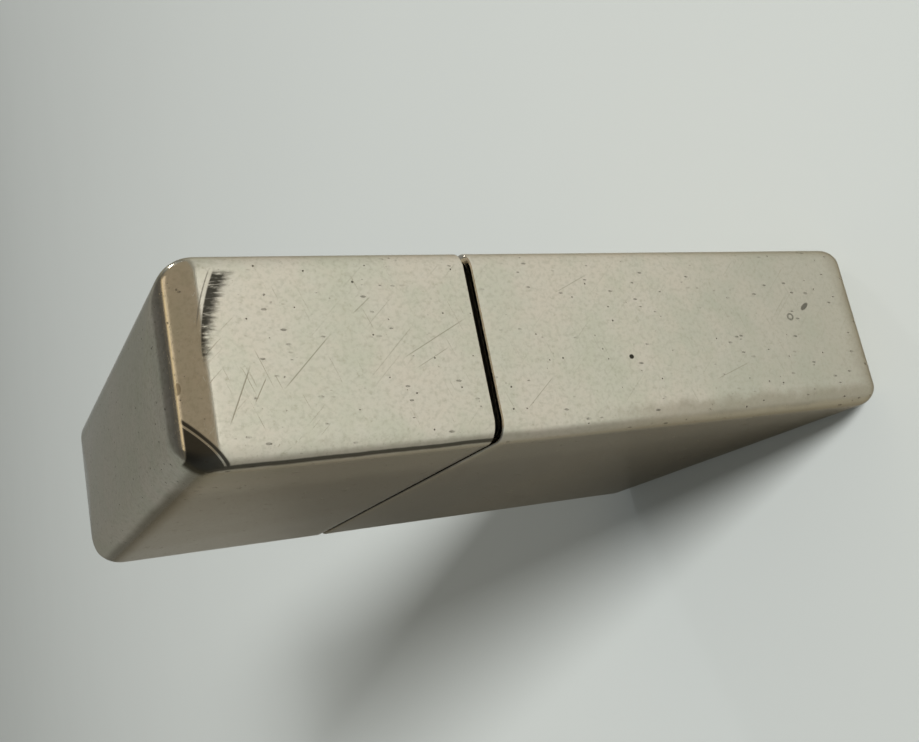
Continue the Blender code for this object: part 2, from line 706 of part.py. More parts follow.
def flint(parent):
    worn = 0.12 * MM
    profile = [
        (0.0, FLINT_BOTTOM),
        (FLINT_RADIUS - worn, FLINT_BOTTOM),
        (FLINT_RADIUS, FLINT_BOTTOM + worn),
        (FLINT_RADIUS, FLINT_TOP - worn),
        (FLINT_RADIUS - worn, FLINT_TOP),
        (0.0, FLINT_TOP),
    ]
    bm = bmesh.new()
    turned_z(bm, profile, WHEEL_X, 0.0, 20)
    add_part("flint", bm, "ferrocerium", (WHEEL_X, 0.0, FLINT_BOTTOM), parent)


def flint_plunger(parent):
    """Tip on top of the spring: a disc under the flint and a stem down into the coils."""
    top = FLINT_BOTTOM - GAP
    shoulder = top - PLUNGER_HEAD
    stem_end = shoulder - PLUNGER_STEM
    head = SPRING_COIL_RADIUS + SPRING_WIRE_RADIUS
    tip = 0.7 * PLUNGER_STEM_RADIUS
    profile = [
        (0.0, stem_end),
        (tip, stem_end),
        (PLUNGER_STEM_RADIUS, stem_end + 0.3 * MM),
        (PLUNGER_STEM_RADIUS, shoulder),
        (head, shoulder),
        (head, top - 0.2 * MM),
        (0.75 * head, top),
        (0.0, top),
    ]
    bm = bmesh.new()
    turned_z(bm, profile, WHEEL_X, 0.0, 20)
    add_part("flint_plunger", bm, "brass", (WHEEL_X, 0.0, shoulder), parent)


def spring_height(turn):
    """Wire centre's height after that many turns: closed coils at both ends, even between."""
    dead_pitch = 2.1 * SPRING_WIRE_RADIUS
    low = SPRING_BOTTOM + SPRING_WIRE_RADIUS
    high = SPRING_TOP - SPRING_WIRE_RADIUS
    dead_rise = dead_pitch * SPRING_DEAD_TURNS
    live_pitch = (high - low - 2 * dead_rise) / (SPRING_TURNS - 2 * SPRING_DEAD_TURNS)
    rise = dead_pitch * min(turn, SPRING_DEAD_TURNS)
    live = min(max(turn - SPRING_DEAD_TURNS, 0.0), SPRING_TURNS - 2 * SPRING_DEAD_TURNS)
    rise += live_pitch * live
    rise += dead_pitch * max(turn - (SPRING_TURNS - SPRING_DEAD_TURNS), 0.0)
    return low + rise


def flint_spring(parent):
    steps_per_turn = 10
    wire_sides = 5
    sections = []
    for i in range(SPRING_TURNS * steps_per_turn + 1):
        turn = i / steps_per_turn
        angle = 2 * math.pi * turn
        height = spring_height(turn)
        section = []
        for side in range(wire_sides):
            around = 2 * math.pi * side / wire_sides
            reach = SPRING_COIL_RADIUS + SPRING_WIRE_RADIUS * math.cos(around)
            x = WHEEL_X + reach * math.cos(angle)
            y = reach * math.sin(angle)
            section.append((x, y, height + SPRING_WIRE_RADIUS * math.sin(around)))
        sections.append(section)
    bm = bmesh.new()
    loft(bm, sections)
    add_part("flint_spring", bm, "bright_steel", (WHEEL_X, 0.0, SPRING_BOTTOM), parent)


def flint_screw(parent):
    """Slotted screw that closes the flint tube from below and carries the spring."""
    head_top = TUBE_BOTTOM - GAP
    shoulder = SPRING_BOTTOM - GAP
    spigot_end = shoulder + SPIGOT_LENGTH
    profile = [
        (0.0, SCREW_HEAD_BOTTOM),
        (SCREW_HEAD_RADIUS - SCREW_CHAMFER, SCREW_HEAD_BOTTOM),
        (SCREW_HEAD_RADIUS, SCREW_HEAD_BOTTOM + SCREW_CHAMFER),
        (SCREW_HEAD_RADIUS, head_top),
        (SCREW_ROOT_RADIUS, head_top),
    ]
    thread_start = head_top + SCREW_NECK
    thread_end = shoulder - SCREW_NECK / 2
    pitch = (thread_end - thread_start) / SCREW_THREADS
    for thread in range(SCREW_THREADS):
        low = thread_start + thread * pitch
        profile.append((SCREW_ROOT_RADIUS, low))
        profile.append((SCREW_CREST_RADIUS, low + 0.4 * pitch))
        profile.append((SCREW_CREST_RADIUS, low + 0.6 * pitch))
    profile += [
        (SCREW_ROOT_RADIUS, thread_end),
        (SCREW_ROOT_RADIUS, shoulder),
        (PLUNGER_STEM_RADIUS, shoulder),
        (PLUNGER_STEM_RADIUS, spigot_end),
        (0.0, spigot_end),
    ]
    bm = bmesh.new()
    turned_z(bm, profile, WHEEL_X, 0.0, 20)
    screw = add_part("flint_screw", bm, "brass", (WHEEL_X, 0.0, head_top), parent)
    bm = bmesh.new()
    low = (WHEEL_X - SCREW_SLOT / 2, -2 * SCREW_HEAD_RADIUS, SCREW_HEAD_BOTTOM - 1.0 * MM)
    high = (WHEEL_X + SCREW_SLOT / 2, 2 * SCREW_HEAD_RADIUS, SCREW_HEAD_BOTTOM + SCREW_SLOT_DEPTH)
    box(bm, low, high)
    boolean(screw, add_tool("tool_screw_slot", bm), "DIFFERENCE")


def pack_level(index):
    """Height of the underside of packing layer index, counted from the felt up."""
    return PACK_BOTTOM + index * (PACK_THICKNESS + WICK_RUN)


def run_level(index):
    """Height of the wick's centre where it runs between layers index and index + 1."""
    return pack_level(index) + PACK_THICKNESS + WICK_RUN / 2


def wick_route():
    """The wick drops from the chimney and winds between the layers of packing."""
    bend = (run_level(1) - run_level(0)) / 2
    right_turn = PACK_RIGHT - WICK_RADIUS - GAP - bend
    left_turn = PACK_LEFT + WICK_RADIUS + GAP + bend
    route = [(WICK_X, WICK_TOP)]
    for share in (0.25, 0.5, 0.75):
        fall = WICK_TOP - (run_level(2) + WICK_DROP_BEND)
        route.append((WICK_X, WICK_TOP - share * fall))
    route += arc(WICK_X + WICK_DROP_BEND, run_level(2) + WICK_DROP_BEND, WICK_DROP_BEND, 180.0, 270.0, 5)
    route += arc(right_turn, run_level(2) - bend, bend, 90.0, -90.0, 10)
    route += [((right_turn + left_turn) / 2, run_level(1))]
    route += arc(left_turn, run_level(1) - bend, bend, 90.0, 270.0, 10)
    route += [((right_turn + left_turn) / 2, run_level(0)), (right_turn, run_level(0))]
    return route


def wick(parent):
    curve = bpy.data.curves.new("wick", "CURVE")
    curve.dimensions = "3D"
    curve.bevel_depth = WICK_RADIUS
    curve.bevel_resolution = 3
    curve.use_fill_caps = True
    route = wick_route()
    spline = curve.splines.new("POLY")
    spline.points.add(len(route) - 1)
    for point, (x, z) in zip(spline.points, route):
        point.co = (x - WICK_X, 0.0, z - WICK_TOP, 1.0)
    obj = bpy.data.objects.new("wick", curve)
    bpy.context.scene.collection.objects.link(obj)
    obj.parent = parent
    obj.location = Vector((WICK_X, 0.0, WICK_TOP)) - parent.location
    obj.data.materials.append(finish_material("wick", "wick_cotton"))


def packing_pad(name, left, right, low, high, parent):
    """Wad of packing with rounded ends and edges."""
    centre_x = (left + right) / 2
    centre_z = (low + high) / 2
    half = PACK_HALF_DEPTH
    profile = [(inset, -half + drop) for inset, drop in quarter_round(PACK_EDGE, 3)]
    profile += [(inset, half - drop) for inset, drop in quarter_round(PACK_EDGE, 3)[::-1]]

    def place(u, v, level):
        return (centre_x + u, level, centre_z + v)

    rounding = min(PACK_ROUND, (high - low) / 2 - FIT, (right - left) / 2 - FIT)
    bm = bmesh.new()
    loft(bm, stack_rectangles(right - left, high - low, rounding, profile, place))
    add_part(name, bm, "cotton", (centre_x, 0.0, centre_z), parent)


def packing(parent):
    """Wads that fill the tank round the wick and beside the flint tube."""
    bend = (run_level(1) - run_level(0)) / 2
    inner_bend = bend - WICK_RADIUS - PACK_CLEARANCE
    right_turn = PACK_RIGHT - WICK_RADIUS - GAP - bend
    left_turn = PACK_LEFT + WICK_RADIUS + GAP + bend
    beside_wick = WICK_RADIUS + PACK_CLEARANCE
    layers = (
        ("packing_bottom", PACK_LEFT, PACK_RIGHT, 0),
        ("packing_lower", left_turn - inner_bend, PACK_RIGHT, 1),
        ("packing_middle", PACK_LEFT, right_turn + inner_bend, 2),
        ("packing_upper_left", PACK_LEFT, WICK_X - beside_wick, 3),
        ("packing_upper_right", WICK_X + beside_wick, PACK_RIGHT, 3),
    )
    for name, left, right, index in layers:
        low = pack_level(index)
        packing_pad(name, left, right, low, low + PACK_THICKNESS, parent)
    side_left = WHEEL_X + TUBE_RADIUS + TUBE_CLEARANCE
    side_right = TANK_RIGHT - TANK_WALL - FELT_CLEARANCE
    side_top = pack_level(3) + PACK_THICKNESS
    packing_pad("packing_side", side_left, side_right, PACK_BOTTOM, side_top, parent)


def felt_pad(parent):
    """Felt that closes the tank from below, with a hole for the flint screw."""
    width = TANK_WIDTH - 2 * TANK_WALL - 2 * FELT_CLEARANCE
    depth = TANK_DEPTH - 2 * TANK_WALL - 2 * FELT_CLEARANCE
    profile = [(inset, FELT_BOTTOM + drop) for inset, drop in quarter_round(FELT_EDGE, 2)]
    profile += [(inset, FELT_TOP - drop) for inset, drop in quarter_round(FELT_EDGE, 2)[::-1]]
    bm = bmesh.new()
    loft(bm, stack_rectangles(width, depth, FELT_RADIUS, profile, tank_place))
    felt = add_part("felt_pad", bm, "felt", (TANK_X, 0.0, FELT_BOTTOM), parent)
    bm = bmesh.new()
    radius = SCREW_HEAD_RADIUS + FELT_CLEARANCE
    low = FELT_BOTTOM - 1.0 * MM
    high = FELT_TOP + 1.0 * MM
    hole = [(0.0, low), (radius, low), (radius, high), (0.0, high)]
    turned_z(bm, hole, WHEEL_X, 0.0, 28)
    boolean(felt, add_tool("tool_felt_hole", bm), "DIFFERENCE")


def build_outer_case(base):
    lid_pivot = add_empty("lid_pivot", (HINGE_X, 0.0, HINGE_Z))
    notch = hinge_clearance()
    lid_knuckles = (1, 3)
    case_knuckles = (0, 2, 4)
    case_body(base, notch)
    hinge_leaf("hinge_leaf_case", -1, lid_knuckles, base)
    hinge_pin(base)
    lid_shell(lid_pivot, notch)
    hinge_leaf("hinge_leaf_lid", 1, case_knuckles, lid_pivot)


def build_inside_unit(base):
    wheel_pivot = add_empty("wheel_pivot", (WHEEL_X, 0.0, WHEEL_Z))
    cam_pivot = add_empty("cam_pivot", (CAM_X, 0.0, CAM_Z))
    flint_slide = add_empty("flint_slide", (WHEEL_X, 0.0, FLINT_BOTTOM))
    insert_tank(base)
    chimney(base)
    spark_wheel(wheel_pivot)
    cross_pin("wheel_axle", WHEEL_X, WHEEL_Z, AXLE_RADIUS, "bright_steel", base)
    cam_lever(cam_pivot)
    cross_pin("cam_pin", CAM_X, CAM_Z, CAM_PIN_RADIUS, "bright_steel", base)
    cam_spring(base)
    cam_spring_rivet(base)
    flint_tube(base)
    flint(flint_slide)
    flint_plunger(flint_slide)
    flint_spring(base)
    flint_screw(base)
    wick(base)
    packing(base)
    felt_pad(base)


def main():
    clear_scene()
    base = add_empty("lighter", (0.0, 0.0, 0.0))
    build_outer_case(base)
    build_inside_unit(base)


main()
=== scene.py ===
"""Looks of a flip-top windproof petrol lighter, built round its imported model."""

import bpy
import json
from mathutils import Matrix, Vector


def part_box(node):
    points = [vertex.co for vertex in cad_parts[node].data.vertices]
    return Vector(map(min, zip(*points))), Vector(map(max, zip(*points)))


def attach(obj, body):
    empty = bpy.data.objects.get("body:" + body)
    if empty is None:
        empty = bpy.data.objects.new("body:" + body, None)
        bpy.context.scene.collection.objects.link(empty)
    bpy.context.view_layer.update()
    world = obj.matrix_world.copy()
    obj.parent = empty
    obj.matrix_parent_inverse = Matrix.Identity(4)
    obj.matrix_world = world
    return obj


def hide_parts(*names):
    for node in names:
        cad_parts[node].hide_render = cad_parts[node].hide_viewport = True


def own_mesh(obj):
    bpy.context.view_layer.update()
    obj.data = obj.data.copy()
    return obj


bl_info = {
    "name": "Flip-top petrol lighter",
    "version": (1, 0, 0),
    "blender": (4, 5, 0),
    "location": "View3D > Sidebar > Lighter",
    "description": "Builds the plated case, the inside unit and the studio of a petrol lighter",
    "category": "Object",
}

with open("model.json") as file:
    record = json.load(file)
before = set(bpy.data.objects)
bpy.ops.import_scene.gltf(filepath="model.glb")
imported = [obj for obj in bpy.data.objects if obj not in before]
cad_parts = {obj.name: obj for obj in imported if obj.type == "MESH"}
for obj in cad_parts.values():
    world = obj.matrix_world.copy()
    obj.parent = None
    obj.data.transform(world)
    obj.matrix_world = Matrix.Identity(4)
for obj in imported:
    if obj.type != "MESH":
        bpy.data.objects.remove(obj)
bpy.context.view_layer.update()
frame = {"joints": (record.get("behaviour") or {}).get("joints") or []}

import json
import math

import bmesh
import bpy
import numpy as np
from bpy.props import FloatProperty, FloatVectorProperty, IntProperty, PointerProperty
from mathutils import Matrix, Vector

MM = 0.001
WELD = 1e-7
JOINTS = {joint["name"]: joint for joint in frame["joints"]}


def joint_point(name):
    """Where a joint's axis passes, in metres."""
    return Vector(JOINTS[name]["pos_m"])


HINGE = joint_point("lid_hinge")
CAM_PIVOT = joint_point("cam_swing")
WHEEL = joint_point("wheel_spin")


# Surfaces: points are worked out on a grid of rows and columns


def grid_quads(rows, columns, wrap_rows, wrap_columns):
    """Corner numbers of the quads of a grid, with the last row or column joined to the first."""
    row = np.arange(rows if wrap_rows else rows - 1)[:, None]
    column = np.arange(columns if wrap_columns else columns - 1)[None, :]
    next_row, next_column = (row + 1) % rows, (column + 1) % columns
    corners = [
        row * columns + column,
        row * columns + next_column,
        next_row * columns + next_column,
        next_row * columns + column,
    ]
    return np.stack(corners, axis=-1).reshape(-1, 4)


def join_grids(grids):
    """One vertex and one face list from several (points, wrap_rows, wrap_columns) grids.

    A grid whose rows don't wrap is closed at each end by a fan round that row's middle.
    """
    vertices, faces, start = [], [], 0
    for points, wrap_rows, wrap_columns in grids:
        rows, columns = points.shape[:2]
        flat = points.reshape(-1, 3)
        faces += (grid_quads(rows, columns, wrap_rows, wrap_columns) + start).tolist()
        vertices.append(flat)
        count = len(flat)
        if not wrap_rows:
            for row, turn in ((0, -1), (rows - 1, 1)):
                ring = start + row * columns + np.arange(columns)
                following = np.roll(ring, -turn)
                centre = np.full(columns, start + count)
                faces += np.stack([ring, following, centre], axis=-1).tolist()
                vertices.append(points[row].mean(axis=0)[None, :])
                count += 1
        start += count
    return np.concatenate(vertices), faces


def link_mesh(name, mesh, material, sharp):
    """Weld and close the mesh, point its faces outwards and add it to the scene."""
    work = bmesh.new()
    work.from_mesh(mesh)
    bmesh.ops.remove_doubles(work, verts=work.verts, dist=WELD)
    bmesh.ops.dissolve_degenerate(work, edges=work.edges, dist=WELD)
    bmesh.ops.recalc_face_normals(work, faces=work.faces)
    work.to_mesh(mesh)
    work.free()
    mesh.shade_smooth()
    mesh.set_sharp_from_angle(angle=math.radians(sharp))
    piece = bpy.data.objects.new(name, mesh)
    bpy.context.scene.collection.objects.link(piece)
    if material is not None:
        mesh.materials.append(material)
    return piece


def make_piece(name, grids, material, sharp=32.0):
    """A mesh object at the origin from (points, wrap_rows, wrap_columns) grids."""
    vertices, faces = join_grids(grids)
    mesh = bpy.data.meshes.new(name)
    mesh.from_pydata(vertices.tolist(), [], faces)
    return link_mesh(name, mesh, material, sharp)


def carve(piece, tools, operation="DIFFERENCE", sharp=32.0):
    """Cut tools from the piece, or join them to it, for good, and throw the tools away."""
    for tool in tools:
        change = piece.modifiers.new("change", "BOOLEAN")
        change.operation = operation
        change.solver = "EXACT"
        change.object = tool
    graph = bpy.context.evaluated_depsgraph_get()
    result = bpy.data.meshes.new_from_object(piece.evaluated_get(graph))
    piece.modifiers.clear()
    whole = piece.data
    piece.data = result
    bpy.data.meshes.remove(whole)
    result.name = piece.name
    for tool in tools:
        bpy.data.objects.remove(tool)
    result.shade_smooth()
    result.set_sharp_from_angle(angle=math.radians(sharp))


def even_shading(piece):
    """Normals weighed by face area, so that flat faces next to round edges stay flat."""
    normals = piece.modifiers.new("even_shading", "WEIGHTED_NORMAL")
    normals.keep_sharp = True


def shaded_piece(name, grids, material, sharp=32.0):
    """A piece of grids with its normals weighed by face area."""
    piece = make_piece(name, grids, material, sharp)
    even_shading(piece)
    return piece


def soften_edges(piece, width, angle=32.0):
    """A small bevel on every edge sharper than the angle."""
    bevel = piece.modifiers.new("soft_edges", "BEVEL")
    bevel.width = width
    bevel.segments = 2
    bevel.limit_method = "ANGLE"
    bevel.angle_limit = math.radians(angle)
    bevel.use_clamp_overlap = True
    bevel.miter_outer = "MITER_ARC"


def spread(count):
    """Numbers from -1 to 1, both included."""
    return np.linspace(-1.0, 1.0, count)


def outline_columns(long_count, short_count, corner_count):
    """Unit data of a rounded rectangle: side positions kx, ky and normals nx, ny by column.

    A point is (kx * (a - r) + nx * r, ky * (b - r) + ny * r) for half sizes a, b and corner
    radius r.
    """
    turn = np.linspace(0.0, math.pi / 2, corner_count)[1:-1]
    pieces = []

    def side(kx, ky, nx, ny):
        """Columns along one side, which all face the same way."""
        kx, ky = np.broadcast_arrays(np.asarray(kx, float), np.asarray(ky, float))
        pieces.append(np.stack([kx, ky, np.full(kx.shape, nx), np.full(kx.shape, ny)], -1))

    def corner(kx, ky, start):
        """Columns round one corner, from its start angle through a quarter turn."""
        angle = start + turn
        ones = np.ones(len(turn))
        pieces.append(np.stack([kx * ones, ky * ones, np.cos(angle), np.sin(angle)], -1))

    side(1.0, spread(short_count), 1.0, 0.0)
    corner(1.0, 1.0, 0.0)
    side(-spread(long_count), 1.0, 0.0, 1.0)
    corner(-1.0, 1.0, math.pi / 2)
    side(-1.0, -spread(short_count), -1.0, 0.0)
    corner(-1.0, -1.0, math.pi)
    side(spread(long_count), -1.0, 0.0, -1.0)
    corner(1.0, -1.0, 1.5 * math.pi)
    return np.concatenate(pieces)


def stacked_outline(columns, half_x, half_y, radius, profile, centre=(0.0, 0.0)):
    """Rounded rectangles, one for each (inset, level, least radius) row of the profile.

    The corner radius shrinks with the inset down to the least radius, so a wall keeps its
    thickness round the corners, and never passes the middle.
    """
    inset, level, least = (profile[:, i][:, None] for i in range(3))
    corner = np.minimum(np.maximum(radius - inset, least), half_y - inset)
    kx, ky, nx, ny = (columns[:, i][None, :] for i in range(4))
    x = centre[0] + kx * (half_x - inset - corner) + nx * corner
    y = centre[1] + ky * (half_y - inset - corner) + ny * corner
    z = np.broadcast_to(level, x.shape)
    return np.stack([x, y, z], axis=-1)


def arc(centre, radius, start, end, steps):
    """Points (u, v) on an arc, angles in degrees."""
    angle = np.radians(np.linspace(start, end, steps + 1))
    return np.stack([centre[0] + radius * np.cos(angle), centre[1] + radius * np.sin(angle)], -1)


def line(start, end, steps):
    """Points at even steps on a straight line: start times (1 - share) plus end times share."""
    share = np.linspace(0.0, 1.0, steps + 1)[:, None]
    return np.asarray(start) * (1 - share) + np.asarray(end) * share


def turned(profile, centre, axis, steps=64, radius_change=None):
    """Carry (radius, height) points once round an axis through centre.

    Radius_change(angle, height) is added to the radius, for teeth and threads.
    """
    angle = np.linspace(0.0, 2 * math.pi, steps, endpoint=False)[None, :]
    radius = np.broadcast_to(profile[:, 0][:, None], (len(profile), steps)).copy()
    height = np.broadcast_to(profile[:, 1][:, None], radius.shape)
    if radius_change is not None:
        radius += radius_change(angle, height)
    across, along = radius * np.cos(angle), radius * np.sin(angle)
    if axis == "Z":
        parts = (centre[0] + across, centre[1] + along, centre[2] + height)
    else:
        parts = (centre[0] + across, centre[1] + height, centre[2] + along)
    return np.stack(parts, axis=-1)


def swept(path, section, across):
    """Carry a (u, v) section along a path. U runs along the given side vectors, v along the rest.

    Across holds one unit vector for each path point; the second direction is tangent x across.
    """
    tangent = np.gradient(path, axis=0)
    tangent /= np.linalg.norm(tangent, axis=1)[:, None]
    second = np.cross(tangent, across)
    u, v = section[:, 0][None, :, None], section[:, 1][None, :, None]
    return path[:, None, :] + u * across[:, None, :] + v * second[:, None, :]


def rounded_section(width, height, radius, steps=4):
    """Closed (u, v) rounded rectangle centred on zero."""
    corners = ((1, 1, 0.0), (-1, 1, 90.0), (-1, -1, 180.0), (1, -1, 270.0))
    parts = []
    for sign_u, sign_v, start in corners:
        centre = (sign_u * (width / 2 - radius), sign_v * (height / 2 - radius))
        parts.append(arc(centre, radius, start, start + 90.0, steps))
    return np.concatenate(parts)


def round_section(radius, sides):
    """Closed (u, v) circle centred on zero: the cosine and sine of each angle."""
    angle = np.linspace(0.0, 2 * math.pi, sides, endpoint=False)
    return radius * np.stack([np.cos(angle), np.sin(angle)], axis=-1)


def extruded(name, outlines, low_y, high_y, material=None):
    """Closed (x, z) outlines carried along Y, with flat end faces."""
    vertices, faces = [], []
    for outline in outlines:
        size = len(outline)
        ring = sum(len(part) for part in vertices) + np.arange(size)
        for y in (low_y, high_y):
            vertices.append(np.stack([outline[:, 0], np.full(size, y), outline[:, 1]], -1))
        following = np.roll(ring, -1)
        sides = np.stack([ring, following, following + size, ring + size], -1)
        faces += sides.tolist() + [ring[::-1].tolist(), (ring + size).tolist()]
    mesh = bpy.data.meshes.new(name)
    mesh.from_pydata(np.concatenate(vertices).tolist(), [], faces)
    return link_mesh(name, mesh, material, 32.0)


def round_tool(name, holes, axis, steps=48):
    """Cylinders along an axis as one object: each hole is (centre, radius, low, high)."""
    grids = []
    for centre, radius, low, high in holes:
        profile = np.array([[radius, low], [radius, high]])
        grids.append((turned(profile, centre, axis, steps), False, True))
    return make_piece(name, grids, None)


def box_tool(name, low, high):
    """A box from its low to its high corner, for cutting."""
    outline = [(low[0], low[2]), (high[0], low[2]), (high[0], high[2]), (low[0], high[2])]
    return extruded(name, [np.array(outline)], low[1], high[1])


def smooth_noise(points, scale, seed):
    """Quarter of the sum of eight sine waves in drawn directions: a smooth field, mostly -1 to 1."""
    draw = np.random.default_rng(seed)
    waves_drawn = 8
    direction = draw.normal(size=(waves_drawn, 3))
    direction /= np.linalg.norm(direction, axis=1)[:, None]
    pace = draw.uniform(0.6, 1.7, size=waves_drawn) * 2 * math.pi / scale
    phase = draw.uniform(0.0, 2 * math.pi, size=waves_drawn)
    waves = np.sin(points @ (direction * pace[:, None]).T + phase)
    return waves.sum(axis=-1) / 4.0


# Materials


class Value:
    """A shader socket that takes part in sums: each operator adds the Math node it needs."""

    def __init__(self, finish, socket):
        self.finish = finish
        self.socket = socket

    def math(self, operation, *others):
        """Add a Math node with this value as its first input and the others after it."""
        inputs = dict(enumerate((self,) + others))
        return self.finish.node("ShaderNodeMath", {"operation": operation}, inputs)

    def __add__(self, other):
        return self.math("ADD", other)

    __radd__ = __add__

    def __mul__(self, other):
        return self.math("MULTIPLY", other)

    __rmul__ = __mul__

    def __sub__(self, other):
        return self.math("SUBTRACT", other)

    def __rsub__(self, other):
        return (self * -1.0) + other


class Finish:
    """A node tree under construction, for a material or for the world."""

    def __init__(self, name, tree=None):
        if tree is None:
            self.material = bpy.data.materials.new(name)
            self.material.use_nodes = True
            tree = self.material.node_tree
        self.tree = tree
        tree.nodes.clear()

    def node(self, kind, settings=None, inputs=None, out=0):
        """Add a node: first its settings, then the values or links of its sockets.

        Returns one of its outputs, or nothing from a closing node, which has none.
        """
        node = self.tree.nodes.new(kind)
        for key, value in (settings or {}).items():
            if key == "stops":
                self.set_stops(node.color_ramp, value)
            else:
                setattr(node, key, value)
        for key, value in (inputs or {}).items():
            if isinstance(value, Value):
                self.tree.links.new(value.socket, node.inputs[key])
            else:
                node.inputs[key].default_value = value
        return Value(self, node.outputs[out]) if node.outputs else None

    def set_stops(self, ramp, stops):
        """Give a colour ramp its (position, colour) stops, in order."""
        while len(ramp.elements) < len(stops):
            ramp.elements.new(0.5)
        for element, (position, colour) in zip(ramp.elements, stops):
            element.position = position
            element.color = (*colour, 1.0)

    def place(self, scale=1.0, turn=(0.0, 0.0, 0.0), shift=(0.0, 0.0, 0.0)):
        """Object coordinates in millimetres, turned (degrees), shifted and scaled by axis."""
        coordinates = self.node("ShaderNodeTexCoord", out="Object")
        scales = (scale,) * 3 if isinstance(scale, (int, float)) else scale
        inputs = {
            "Vector": coordinates,
            "Location": tuple(-part for part in shift),
            "Rotation": tuple(math.radians(part) for part in turn),
            "Scale": (1 / MM,) * 3,
        }
        turned_place = self.node("ShaderNodeMapping", {"vector_type": "POINT"}, inputs)
        return self.node(
            "ShaderNodeVectorMath", {"operation": "MULTIPLY"}, {0: turned_place, 1: scales}
        )

    def axes(self, vector):
        """The x, y and z of a vector, as three values."""
        return [self.node("ShaderNodeSeparateXYZ", inputs={0: vector}, out=i) for i in range(3)]

    def noise(self, vector, detail=3.0, roughness=0.55):
        """Cloudy noise about 0.5, one feature for each unit of the vector."""
        inputs = {"Vector": vector, "Scale": 1.0, "Detail": detail, "Roughness": roughness}
        return self.node("ShaderNodeTexNoise", inputs=inputs)

    def cells(self, vector, out="Distance"):
        """Distance to the nearest scattered point, or that point's own random colour."""
        inputs = {"Vector": vector, "Scale": 1.0}
        return self.node("ShaderNodeTexVoronoi", {"feature": "F1"}, inputs, out)

    def step(self, value, low, high):
        """Smooth step from 0 at low to 1 at high; low may be the larger."""
        inputs = {"Value": value, "From Min": low, "From Max": high}
        return self.node("ShaderNodeMapRange", {"interpolation_type": "SMOOTHSTEP"}, inputs)

    def mix(self, share, first, second):
        """A colour between two: the first where the share is 0, the second where it is 1."""
        first = (*first, 1.0) if isinstance(first, tuple) else first
        second = (*second, 1.0) if isinstance(second, tuple) else second
        settings = {"data_type": "RGBA"}
        return self.node("ShaderNodeMix", settings, {0: share, 6: first, 7: second}, out=2)

    def ramp(self, value, stops):
        """Colour of a value, from (position, colour) stops."""
        return self.node("ShaderNodeValToRGB", {"stops": stops}, {0: value})

    def both(self, first, second):
        """Two masks laid over each other: the stronger of the two at each place."""
        return first.math("MAXIMUM", second)

    def bump(self, height, distance, strength=1.0, normal=None):
        """Normal tilted by a height between 0 and 1 that stands for the distance, over another."""
        inputs = {"Height": height, "Distance": distance, "Strength": strength}
        if normal is not None:
            inputs["Normal"] = normal
        return self.node("ShaderNodeBump", inputs=inputs)

    def principled(self, varying, fixed):
        """The closing shader: varying sockets take links, fixed ones plain numbers."""
        shader = self.node("ShaderNodeBsdfPrincipled", inputs={**fixed, **varying})
        self.node("ShaderNodeOutputMaterial", inputs={"Surface": shader})
        return self.material


# Sizes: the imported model's own boxes, and what a user would change


CASE_LOW, CASE_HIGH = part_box("case_body")
LID_LOW, LID_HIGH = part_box("lid_shell")
TANK_LOW, TANK_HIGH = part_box("insert_tank")
SHIELD_LOW, SHIELD_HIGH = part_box("chimney")
CAM_LOW, CAM_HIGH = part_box("cam_lever")
WICK_LOW, WICK_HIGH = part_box("wick")
KNUCKLE_LOW, KNUCKLE_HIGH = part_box("hinge_leaf_case")
RIVET_LOW, RIVET_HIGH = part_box("cam_spring_rivet")
SCREW_LOW, SCREW_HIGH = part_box("flint_screw")
TUBE_LOW, TUBE_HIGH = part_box("flint_tube")
SHIELD_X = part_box("packing_upper_left")[1].x / 2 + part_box("packing_upper_right")[0].x / 2
SHIELD_HALF_X = 8.1 * MM
SHIELD_LEFT, SHIELD_RIGHT = SHIELD_X - SHIELD_HALF_X, SHIELD_X + SHIELD_HALF_X
SHIELD_HALF_Y = SHIELD_HIGH.y
WICK_RADIUS = WICK_HIGH.y
RIVET_X = (RIVET_LOW.x + RIVET_HIGH.x) / 2
TUBE_RADIUS = (TUBE_HIGH.x - TUBE_LOW.x) / 2
AXLE_RADIUS = 0.95 * MM
CAM_PIN_RADIUS = 0.8 * MM
RIVET_RADIUS = 0.5 * MM
WHEEL_EAR_RADIUS = 2.1 * MM
CAM_EAR_RADIUS = 1.9 * MM
EAR_LAP = 1.5 * MM
CAM_SHEET = 0.6 * MM
CAM_HUB_RADIUS = 1.75 * MM
CAM_FOOT_RADIUS = 2.15 * MM
CAM_NOSE_RADIUS = 0.8 * MM
LEAF_SPRING_SHEET = 0.25 * MM
WHEEL_RIM_RADIUS = 3.45 * MM
WHEEL_FILE_RADIUS = 3.2 * MM
WHEEL_FILE_HALF = 1.7 * MM
TUBE_BORE_RADIUS = 1.35 * MM
COIL_WIRE_RADIUS = 0.2 * MM
YARN_RADIUS = 0.26 * MM
FIT = 0.05 * MM
KNUCKLES = 5
KNUCKLE_GAP = 0.1 * MM
KNUCKLE_CLEARANCE = 0.15 * MM
HINGE_SHEET = 0.35 * MM
ROLL_TURN = 290.0
LEAF_CLEARANCE = 1.15 * MM
FINE_BEVEL = 0.04 * MM


def length(name, text, default):
    """A size in metres that a user can change."""
    return FloatProperty(name=name, description=text, default=default, unit="LENGTH", precision=5)


def colour(name, text, default):
    """A colour that a user can change."""
    return FloatVectorProperty(
        name=name, description=text, default=default, subtype="COLOR", min=0.0, max=1.0
    )


def count(name, text, default):
    """A whole number of teeth, turns or yarns that a user can change."""
    return IntProperty(name=name, description=text, default=default, min=1)


